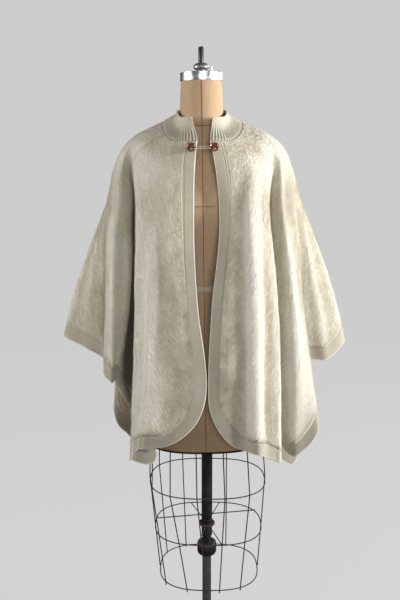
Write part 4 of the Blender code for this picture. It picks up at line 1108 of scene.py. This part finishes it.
def rimPoint(turn):
    # squared oval ring, open at the front, whose height rises towards the nape
    look = collarLook
    degrees = look["opening"] + turn * (360 - 2 * look["opening"])
    angle = np.radians(degrees)
    halfTurn = 180 - np.abs(180 - degrees)
    side = signedPower(np.sin(angle), 2 / look["rimSquare"])
    front = signedPower(np.cos(angle), 2 / look["rimSquare"])
    y = np.where(front > 0, -look["rimFront"] * front, -look["rimBack"] * front)
    z = look["rimZ"] + look["sideRise"] * smooth((halfTurn - 50) / 55)
    z = z + look["napeRise"] * smooth((halfTurn - 100) / 80)
    return np.stack([neckSeam["x"] - look["rimHalfWidth"] * side, y, z], axis=-1)


def makeCollar():
    # a cubic surface between seam and rim, moved out by ribs that fade and a rolled edge
    look = collarLook
    fine = np.linspace(0, girthAt[-1], 900)
    walked = arcLength(capeBase(fine, np.zeros(len(fine))))
    columns = look["ribs"] * look["perRib"] + 1
    share = np.linspace(0, 1, columns)
    girth = np.interp(share * walked[-1], walked, fine)
    base, around, _, normal = capeFrame(girth, np.zeros(columns))
    up = unit(np.cross(around, normal))
    base = base + look["gap"] * up
    rim = rimPoint(share)
    reach = np.linalg.norm(rim - base, axis=1)[:, None]
    leaving, arriving = up * reach * 0.9, np.array([0.0, 0.0, 1.0]) * reach * 0.9
    t = (1 - np.cos(np.linspace(0, np.pi, look["rows"]))) / 2
    t = t[::-1][:, None, None]
    # from the seam, leaving along the shoulder, up to the rim
    outer = hermite(t, base, leaving, rim, arriving)
    facing = unit(np.cross(np.gradient(outer, axis=1), np.gradient(outer, axis=0)))
    t = t[..., 0]
    # ribs deepest in the lower half, fading to a soft rolled rim
    ridge = 0.5 + 0.5 * np.cos(2 * np.pi * share * look["ribs"])
    depth = (0.22 + 0.78 * smooth((0.72 - t) / 0.40)) * (0.35 + 0.65 * smooth(t / 0.12))
    depth = depth * smooth((1.0 - t) / 0.1)
    roll = look["roll"] * smooth((t - 0.82) / 0.15)
    ends = smooth(np.minimum(share, 1 - share) * look["ribs"] / 0.5)
    height = look["ribHeight"] * depth * ridge[None] + roll
    wave = 0.0005 * np.sin(share * 37)[None] * smooth(t / 0.5)
    drop = np.zeros_like(height)
    drop[0] = drop[-1] = look["edgeRound"]
    drop[:, 0] = drop[:, -1] = look["edgeRound"]
    top = outer + facing * (height * (0.3 + 0.7 * ends)[None] + wave - drop - 0.0001)[..., None]
    under = outer - facing * (cape["cloth"] - 0.0002 - drop)[..., None]
    uv = np.stack(np.broadcast_arrays((share * look["ribs"])[None], t), axis=2).reshape(-1, 2)
    return settle(closedShell("standCollar", top, under, finishes["collarKnit"], uv), "collar")


collar = makeCollar()
print("collar made")


# Turned and swept pieces

def turnedPiece(name, profile, sides, finish, node, place=None, sharp=40):
    # profile (radius, z) carried round Z; place turns and moves the points
    profile = np.array(profile, float)
    angle = np.arange(sides) * 2 * np.pi / sides
    radius, z = profile[:, :1], profile[:, 1:]
    points = np.stack([radius * np.cos(angle), radius * np.sin(angle), z + 0 * angle], axis=2)
    points = np.concatenate([points.reshape(-1, 3), [[0, 0, profile[0, 1]], [0, 0, profile[-1, 1]]]])
    if place is not None:
        points = place(points)
    faces = ringTriangles(len(profile), sides)
    return settle(gridMesh(name, points, faces, finishes[finish], sharp=sharp), node)


def sweptTube(name, path, radius, sides, finish, closed, node, twist=None):
    # circle of the radius carried along the path; the frame turns with the path's own bend
    if closed:
        ahead = np.roll(path, -1, axis=0) - np.roll(path, 1, axis=0)
    else:
        ahead = np.gradient(path, axis=0)
    ahead = unit(ahead)
    guide = np.array([0.0, 0.0, 1.0]) if np.abs(ahead[:, 2]).max() < 0.9 else np.array([0.0, 1.0, 0.0])
    side = unit(np.cross(ahead, guide))
    upper = np.cross(side, ahead)
    angle = np.arange(sides) * 2 * np.pi / sides
    length = arcLength(path)
    size = np.full((len(path), sides), radius)
    if twist:
        size = size * (1 + 0.13 * np.cos(2 * angle[None] - 2 * np.pi * length[:, None] / twist))
    ring = side[:, None] * np.cos(angle)[None, :, None] + upper[:, None] * np.sin(angle)[None, :, None]
    points = (path[:, None] + ring * size[..., None]).reshape(-1, 3)
    uv = np.stack(np.broadcast_arrays(length[:, None], angle[None] / (2 * np.pi)), axis=2).reshape(-1, 2)
    if closed:
        numbers = np.arange(len(points)).reshape(-1, sides)
        faces = triangles(gridFaces(np.pad(numbers, ((0, 1), (0, 1)), mode="wrap"), True))
    else:
        faces = ringTriangles(len(path), sides)
        points = np.concatenate([points, path[[0, -1]]])
        uv = np.concatenate([uv, [[0, 0], [length[-1], 0]]])
    # the ring turns against the path, so the faces are reversed to look outward
    return settle(gridMesh(name, points, faces[:, ::-1], finishes[finish], uv), node)


buttonLook = {
    "radius": 0.012, "thick": 0.0062, "shank": 0.0016, "shankLength": 0.0034,
    "insets": (0.0140, -0.0062), "drop": 0.0190, "loop": 0.00125, "pinch": 0.0022, "gap": 0.0003,
    "twist": 0.006,
}


def buttonSeats():
    # point and normal on the cape at each button's inset from the front edge
    seats = []
    for inset in buttonLook["insets"]:
        start = 0.0 if inset > 0 else girthAt[-1]
        line = foldLines[0 if inset > 0 else -1]
        fall = np.array([buttonLook["drop"] / line[2]])
        _, around, _, _ = capeFrame(np.array([start]), fall)
        point, _, _, normal = capeFrame(np.array([start + inset / np.linalg.norm(around)]), fall)
        seats.append((point[0], normal[0]))
    return seats


def makeClosure():
    # two turned buttons square to one plane, and a cord that runs round both shanks
    look = buttonLook
    seats = buttonSeats()
    facing = unit(sum(normal for _, normal in seats))
    across = seats[1][0] - seats[0][0]
    across = unit(across - facing * across.dot(facing))
    upward = np.cross(facing, across)
    turn = np.stack([across, upward, facing], axis=1)
    level = max(point.dot(facing) for point, _ in seats) + look["gap"]
    r, h, base = look["radius"], look["thick"], look["shankLength"]
    angle = np.linspace(-0.5 * np.pi, 0.62 * np.pi, 14)
    # rounded rim: a small oval swept from the underside over the top, then a dished middle
    rim = [(r * 0.86 + r * 0.14 * math.cos(a), base + h * 0.42 + h * 0.42 * math.sin(a)) for a in angle]
    dish = [(r * 0.72, base + h * 0.62), (r * 0.68, base + h * 0.56)]
    knob = [(r * s, base + h * (0.56 + 0.26 * (1 - (s / 0.64) ** 2))) for s in np.linspace(0.64, 0.02, 9)]
    centres = []
    for word, node, (point, _) in zip(("Right", "Left"), ("button_right", "button_left"), seats):
        foot = point.dot(facing) + look["gap"] - level
        centre = point + facing * (level - point.dot(facing))
        profile = [(look["shank"], foot), (look["shank"], base * 0.8), (look["shank"] * 1.5, base)]
        profile += [(r * 0.5, base)] + rim + dish + knob
        turnedPiece("button" + word, profile, 72, "horn", node,
                    lambda points, at=centre: points @ turn.T + at, 60)
        centres.append(centre)
    bend = look["shank"] + look["loop"] + look["gap"] + 0.0001
    span = np.linalg.norm(centres[1] - centres[0])
    height = look["loop"] + 2 * look["gap"]
    arc = np.linspace(-math.pi / 2, math.pi / 2, 15)
    ends = [(span + bend * math.cos(a), bend * math.sin(a)) for a in arc]
    others = [(-bend * math.cos(a), -bend * math.sin(a)) for a in arc]
    between = np.linspace(0.05, 0.95, 46)
    strand = [(span * s, look["pinch"] + (bend - look["pinch"]) * abs(2 * s - 1) ** 2) for s in between]
    outline = np.array(ends + strand[::-1] + others + [(x, -y) for x, y in strand])
    path = centres[0] + outline[:, :1] * across + outline[:, 1:] * upward + facing * height
    sweptTube("closureLoop", path, look["loop"], 14, "cord", True, "closure_loop", look["twist"])


makeClosure()
print("buttons and loop made")


# Dress form

form = {
    "lean": -0.76, "leanZ": 0.454, "gap": 0.0003, "rimThick": 0.0055, "rimOver": 0.0015,
    "around": 0.13,          # metres of the map for a radian round the form
    "capRadius": 0.0537, "capHeight": 0.0212, "nutRadius": 0.0200, "nutHeight": 0.0215,
    "rodRadius": 0.0070, "rodTop": 1.7740, "pinX": 0.0265, "pinRadius": 0.0016, "pinHeight": 0.0130,
}
# z, half width, front, back, squareness
torsoRows = (
    (0.7340, 0.1640, 0.1215, 0.1180, 2.6), (0.8000, 0.1710, 0.1240, 0.1240, 2.5),
    (0.9000, 0.1760, 0.1220, 0.1290, 2.4), (0.9700, 0.1740, 0.1190, 0.1290, 2.4),
    (1.0500, 0.1580, 0.1100, 0.1170, 2.3), (1.1200, 0.1360, 0.1000, 0.1000, 2.2),
    (1.1800, 0.1250, 0.0960, 0.0880, 2.2), (1.2400, 0.1300, 0.1010, 0.0870, 2.2),
    (1.3100, 0.1430, 0.1110, 0.0910, 2.2), (1.3800, 0.1530, 0.1200, 0.0950, 2.2),
    (1.4300, 0.1570, 0.1110, 0.0970, 2.2), (1.4700, 0.1640, 0.0980, 0.0950, 2.2),
    (1.5000, 0.1740, 0.0860, 0.0880, 2.2), (1.5200, 0.1770, 0.0760, 0.0780, 2.2),
    (1.5350, 0.1730, 0.0690, 0.0690, 2.2), (1.5484, 0.1595, 0.0640, 0.0630, 2.2),
    (1.5604, 0.1375, 0.0610, 0.0590, 2.2), (1.5700, 0.1100, 0.0590, 0.0570, 2.2),
    (1.5790, 0.0825, 0.0560, 0.0545, 2.1), (1.5880, 0.0645, 0.0548, 0.0538, 2.0),
    (1.6000, 0.0560, 0.0538, 0.0532, 2.0), (1.6200, 0.0550, 0.0540, 0.0535, 2.0),
    (1.6550, 0.0535, 0.0525, 0.0525, 2.0), (1.6905, 0.0515, 0.0515, 0.0515, 2.0),
)


def leaning(points):
    # turn about the Y axis through the lean height
    angle = math.radians(form["lean"])
    x, y, z = points.T
    z = z - form["leanZ"]
    return np.column_stack([x * math.cos(angle) + z * math.sin(angle), y,
                            z * math.cos(angle) - x * math.sin(angle) + form["leanZ"]])


def formPoint(angle, z):
    # superellipse section at height z: x = w cos^(2/q), y = d sin^(2/q), front and back depths
    table = np.array(torsoRows)
    width, front, back, square = through(table[:, 0], table[:, 1:], z.ravel()).T
    angle = angle.ravel()
    x = width * signedPower(np.cos(angle), 2 / square)
    y = signedPower(np.sin(angle), 2 / square)
    y = np.where(y < 0, front * y, back * y)
    return np.column_stack([x, y, z.ravel()])


def makeTorso():
    # rings of the section, closer together where the table's rows are
    sides, rows = 160, 170
    levels = np.array(torsoRows)[:, 0]
    z = np.interp(np.linspace(0, 1, rows), np.linspace(0, 1, len(levels)), levels)
    angle = np.arange(sides) * 2 * np.pi / sides
    grid = formPoint(*np.broadcast_arrays(angle[None], z[:, None]))
    points = leaning(np.concatenate([grid, [[0, 0, z[0]], [0, 0, z[-1]]]]))
    uv = np.column_stack([np.broadcast_to(angle * form["around"], (rows, sides)).ravel(), grid[:, 2]])
    uv = np.concatenate([uv, [[0, z[0]], [0, z[-1]]]])
    piece = gridMesh("formTorso", points, ringTriangles(rows, sides), finishes["linen"], uv, sharp=50)
    return settle(piece, "torso")


def surfaceLine(name, angle, z, radius, lift):
    # a thread that follows the form's surface, lifted a little off it
    point = formPoint(*np.broadcast_arrays(angle, z))
    path = leaning(point + unit(point * [1, 1, 0]) * lift)
    sweptTube(name, path, radius, 6, "darkThread", False, None)


def makeFormSeams():
    # threads down the front, back, sides and princess lines, round the neck and under the bust
    front = -np.pi / 2
    z = np.linspace(0.7345, 1.6900, 190)
    low = np.linspace(0.7345, 1.5000, 160)
    surfaceLine("frontSeam", front, z, 0.0007, 0.0)
    surfaceLine("backSeam", -front, z, 0.0006, 0.0)
    for word, princess, side in (("Right", -0.62, np.pi), ("Left", 0.62, 0.0)):
        surfaceLine("princess" + word, front + princess, low, 0.0005, -0.0001)
        surfaceLine("sideSeam" + word, side, z, 0.0005, -0.0001)
    turn = np.linspace(0, 2 * np.pi, 150)
    surfaceLine("neckSeam", turn, 1.5855 + 0.004 * np.sin(turn), 0.0008, 0.0002)
    surfaceLine("bustSeam", np.linspace(-np.pi, front + 0.16, 80), 1.3860, 0.0006, 0.0001)


def makeWaistTape():
    # a flat tape round the waist with three woven lines: width in z, a small lift off the form
    turn = np.linspace(0, 2 * np.pi, 161)[:-1]
    across = np.array([-0.0075, -0.0070, -0.0045, -0.0020, 0.0010, 0.0040, 0.0070, 0.0075])
    lift = np.array([-0.0004, 0.0005, 0.0009, 0.0004, 0.0009, 0.0004, 0.0009, -0.0004])
    angle, z = np.broadcast_arrays(turn[None], 1.1730 + across[:, None])
    point = formPoint(angle, z)
    outward = unit(point * [1, 1, 0])
    points = leaning(point + outward * np.repeat(lift, len(turn))[:, None])
    numbers = np.arange(len(points)).reshape(len(across), -1)
    closed = np.concatenate([numbers, numbers[:, :1]], axis=1)
    return settle(gridMesh("waistTape", points, gridFaces(closed, True), finishes["tape"]))


def makeHead():
    # cap, nut, rod and pin, each turned from a profile and leaning with the neck
    capZ = torsoRows[-1][0] + form["gap"]
    radius, height = form["capRadius"], form["capHeight"]
    profile = [(radius - 0.0012, capZ), (radius - 0.0002, capZ + 0.0006), (radius, capZ + 0.0015),
               (radius - 0.0004, capZ + 0.0030), (radius - 0.0004, capZ + height - 0.0045),
               (radius, capZ + height - 0.0032), (radius - 0.0003, capZ + height - 0.0012),
               (radius - 0.0016, capZ + height - 0.0003), (radius - 0.0040, capZ + height),
               (radius - 0.0200, capZ + height + 0.0010)]
    turnedPiece("neckCap", profile, 128, "cap", "neck_cap", leaning)
    nutZ = capZ + height + 0.0012 + form["gap"]
    r, h = form["nutRadius"], form["nutHeight"]
    shares = ((0.52, 0), (0.54, 0.18), (0.80, 0.26), (0.96, 0.38), (1, 0.52), (0.98, 0.66),
              (0.86, 0.82), (0.66, 0.94), (0.46, 1))
    profile = [(r * across, nutZ + h * up) for across, up in shares]
    turnedPiece("capNut", profile, 64, "nut", "cap_nut", leaning, 50)
    r, top = form["rodRadius"], form["rodTop"]
    profile = [(r, nutZ + h + form["gap"]), (r, top - 0.0022), (r - 0.0008, top - 0.0007), (r - 0.0026, top)]
    turnedPiece("capRod", profile, 40, "black", "cap_rod", leaning)
    r, top = form["pinRadius"], nutZ + form["pinHeight"]
    profile = [(r, nutZ), (r, top - 0.0006), (r * 0.6, top)]
    turnedPiece("capPin", profile, 20, "pole", "cap_pin",
                lambda points: leaning(points + [form["pinX"], 0, 0]))


def makeHipRim():
    # flat black edge under the form: the lowest section, a little wider, carried over its thickness
    sides = 160
    angle = np.arange(sides) * 2 * np.pi / sides
    z, width, front, back, square = torsoRows[0]
    over = form["rimOver"]
    x = (width + over) * signedPower(np.cos(angle), 2 / square)
    y = signedPower(np.sin(angle), 2 / square)
    y = np.where(y < 0, (front + over) * y, (back + over) * y)
    top = z - form["gap"]
    low = top - form["rimThick"]
    levels = ((0.985, low), (1.0, low + 0.0012), (1.0, top - 0.0010), (0.99, top))
    rings = [np.column_stack([x * share, y * share, np.full(sides, at)]) for share, at in levels]
    points = leaning(np.concatenate(rings + [[[0, 0, low], [0, 0, top]]]))
    faces = ringTriangles(len(levels), sides)
    settle(gridMesh("hipRim", points, faces, finishes["black"], sharp=40), "hip_rim")


makeTorso()
makeFormSeams()
makeWaistTape()
makeHead()
makeHipRim()
print("dress form made")


# Skirt cage

cage = {
    "square": 2.65, "radius": 0.0016, "gap": 0.0003, "topShift": -0.0035,
    "hoops": (("hoop_top", 0.5980, 0.0014, 0.1637, 0.1246), ("hoop_middle", 0.4542, 0.0040, 0.1534, 0.1187),
              ("hoop_bottom", 0.3114, 0.0060, 0.1428, 0.1160)),
    "wires": (("wire_front_1", -1, -0.62, -0.43), ("wire_front_2", -1, -0.18, -0.065),
              ("wire_front_3", -1, 0.28, 0.20), ("wire_front_4", -1, 0.69, 0.605),
              ("wire_right_front", -1, -0.930, -0.845), ("wire_right", 1, -0.9985, -0.9985),
              ("wire_right_back", 1, -0.86, -0.87), ("wire_back_1", 1, -0.45, -0.48),
              ("wire_back_2", 1, 0.36, 0.38), ("wire_left", 1, 0.9985, 0.9985)),
}


def camel(name):
    # first_word_second as firstWordSecond
    words = name.split("_")
    return words[0] + "".join(word.capitalize() for word in words[1:])


def hoopPoint(hoop, ratio, side):
    # superellipse point at a share of the half width, and its outward normal
    _, z, middle, halfWidth, halfDepth = hoop
    q = cage["square"]
    y = halfDepth * side * (1 - abs(ratio) ** q) ** (1 / q)
    outward = np.array([signedPower(ratio, q - 1) / halfWidth,
                        signedPower(y / halfDepth, q - 1) / halfDepth, 0.0])
    return np.array([middle + halfWidth * ratio, y, z]), outward / np.linalg.norm(outward)


def makeCage():
    # closed hoops, then wires outside them from the rim down past the lowest hoop
    q, radius = cage["square"], cage["radius"]
    angle = np.arange(120) * 2 * np.pi / 120
    for name, z, middle, halfWidth, halfDepth in cage["hoops"]:
        path = np.column_stack([middle + halfWidth * signedPower(np.cos(angle), 2 / q),
                                halfDepth * signedPower(np.sin(angle), 2 / q), np.full(120, z)])
        sweptTube(camel(name), path, radius, 10, "rust", True, name)
    apart = 2 * radius + cage["gap"] / 2
    rimZ = torsoRows[0][0] - form["rimThick"] - 2 * form["gap"]
    topZ, bottomZ = cage["hoops"][0][1], cage["hoops"][-1][1]
    for name, side, top, bottom in cage["wires"]:
        points = []
        for hoop in cage["hoops"]:
            ratio = top + (bottom - top) * (topZ - hoop[1]) / (topZ - bottomZ)
            point, outward = hoopPoint(hoop, ratio, side)
            points.append(point + outward * apart)
        head = points[0] * (0.955, 0.93, 1.0)
        head[0] += cage["topShift"]
        head[2] = rimZ - cage["gap"] - math.radians(form["lean"]) * head[0]
        foot = points[-1] - [0, 0, 0.006]
        knots = np.array([head, *points, foot])
        # straight runs from hoop to hoop
        along = np.linspace(0, len(knots) - 1, 49)
        places = np.arange(len(knots))
        path = np.column_stack([np.interp(along, places, axis) for axis in knots.T])
        sweptTube(camel(name), path, radius, 10, "rust", False, name)


makeCage()
for name in ("brace_wire", "brace_ring", "brace_arm_1", "brace_arm_2", "brace_arm_3", "brace_arm_4"):
    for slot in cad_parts[name].material_slots:
        slot.material = finishes["rust"]
print("cage made")


# Post and foot

post = {
    "sleeveRadius": 0.0155, "sleeveBottom": 0.4170, "poleRadius": 0.0130,
    "collarRadius": 0.0280, "collarBottom": 0.3560, "collarTop": 0.3950,
    "footRadius": 0.2200, "bossRadius": 0.0340, "bossTop": 0.0560, "gap": 0.0003,
}


def makePost():
    # sleeve, its collar, the pole and the foot, each turned from a profile
    top = torsoRows[0][0] - form["rimThick"] - 2 * form["gap"] - 0.0006
    r, low = post["sleeveRadius"], post["sleeveBottom"]
    profile = [(r - 0.0004, low), (r, low + 0.0006), (r, low + 0.052), (r - 0.0005, low + 0.0525),
               (r - 0.0005, low + 0.066), (r, low + 0.0665), (r, top - 0.0004), (r - 0.0003, top)]
    turnedPiece("postSleeve", profile, 64, "black", "post_sleeve", None, 30)
    c, b, t, p = post["collarRadius"], post["collarBottom"], post["collarTop"], post["poleRadius"]
    profile = [(p + 0.004, b), (c - 0.006, b + 0.0012), (c - 0.0022, b + 0.0040), (c, b + 0.0085),
               (c, t - 0.0060), (c - 0.0014, t - 0.0022), (c - 0.0046, t), (p + 0.0002, t + 0.0002),
               (p, low - post["gap"])]
    turnedPiece("sleeveCollar", profile, 72, "black", "sleeve_collar")
    profile = [(p, post["bossTop"] + post["gap"]), (p, post["collarBottom"] - post["gap"])]
    turnedPiece("postPole", profile, 64, "pole", "post_pole")
    f, s = post["footRadius"], post["bossRadius"]
    profile = [(f - 0.002, 0.0), (f, 0.002), (f, 0.0120), (f - 0.0020, 0.0145), (f - 0.006, 0.0160),
               (f - 0.050, 0.0185), (s + 0.060, 0.0240), (s + 0.020, 0.0275), (s + 0.006, 0.0310),
               (s, 0.0380), (s - 0.001, 0.0460), (s - 0.004, post["bossTop"])]
    turnedPiece("footPlate", profile, 128, "iron", "foot_plate")


makePost()
print("post and foot made")


# Floor, light and camera

stageLook = {
    "shade": (0.604, 0.604, 0.604),
    "base": (0.05, 0.05, 0.05),
    "share": 0.985,         # how much of the shade is even, whatever falls on the floor
    "world": 0.08,
    # lights: x, y, z, watts and size
    "key": (2.6, -0.65, 1.9, 140.0, 0.9),
    "front": (0.5, -3.5, 1.90, 46.0, 2.2),
    "left": (-2.7, -0.6, 1.9, 60.0, 1.4),
    "back": (1.9, 2.0, 2.4, 26.0, 1.4),
}


def makeStage():
    # floor that bends up behind into a wall: a quarter circle between the two
    bend = np.linspace(0, np.pi / 2, 16)[1:]
    depth = np.concatenate([np.linspace(-6, 4, 11), 4 + 3 * np.sin(bend), [7, 7]])
    rise = np.concatenate([np.zeros(11), 3 - 3 * np.cos(bend), [6, 9]])
    x = np.linspace(-9, 9, 5)
    points = np.stack(np.broadcast_arrays(x[None], depth[:, None], rise[:, None]), axis=2)
    made, tree, sockets = newMaterial("stage grey", {
        "Roughness": 1.0, "Specular IOR Level": 0.0,
        "Base Color": stageLook["base"], "Emission Color": stageLook["shade"],
    })
    seen = addNode(tree, "LightPath").outputs["Is Camera Ray"]
    tree.links.new(times(tree, seen, stageLook["share"]), sockets["Emission Strength"])
    numbers = np.arange(len(depth) * 5).reshape(-1, 5)
    gridMesh("backdrop", points.reshape(-1, 3), gridFaces(numbers, True), made)


def aimed(place, target):
    # the turn that points a lamp's -Z from the place at the target
    forward = unit(np.array(target, float) - np.array(place, float))
    yaw = math.atan2(-forward[0], forward[1])
    pitch = math.acos(-forward[2])
    return (pitch, 0.0, yaw)


def makeLights():
    # square area lights aimed at the cape's middle, and a faint even world
    for name in ("key", "front", "left", "back"):
        x, y, z, power, size = stageLook[name]
        light = bpy.data.lights.new(name, "AREA")
        light.energy, light.size = power, size
        lamp = bpy.data.objects.new(name, light)
        lamp.location = (x, y, z)
        lamp.rotation_euler = aimed((x, y, z), (0, 0, 1.15))
        bpy.context.scene.collection.objects.link(lamp)
    world = bpy.data.worlds.new("studio")
    world.use_nodes = True
    world.node_tree.nodes["Background"].inputs["Color"].default_value = (0.93, 0.95, 1.0, 1)
    world.node_tree.nodes["Background"].inputs["Strength"].default_value = stageLook["world"]
    bpy.context.scene.world = world


makeStage()
makeLights()

lens = {"x": -0.020, "distance": 1.85, "z": 1.55, "pitch": 13.0, "lens": 42.0, "sensor": 36.0}
cameraData = bpy.data.cameras.new("camera")
cameraData.sensor_fit = "VERTICAL"
cameraData.sensor_height = lens["sensor"]
cameraData.lens = lens["lens"]
camera = bpy.data.objects.new("camera", cameraData)
camera.location = (lens["x"], -lens["distance"], lens["z"])
camera.rotation_euler = (math.radians(90 - lens["pitch"]), 0, 0)
bpy.context.scene.collection.objects.link(camera)
bpy.context.scene.camera = camera
bpy.context.scene.view_settings.view_transform = "Standard"

print("scene ready")
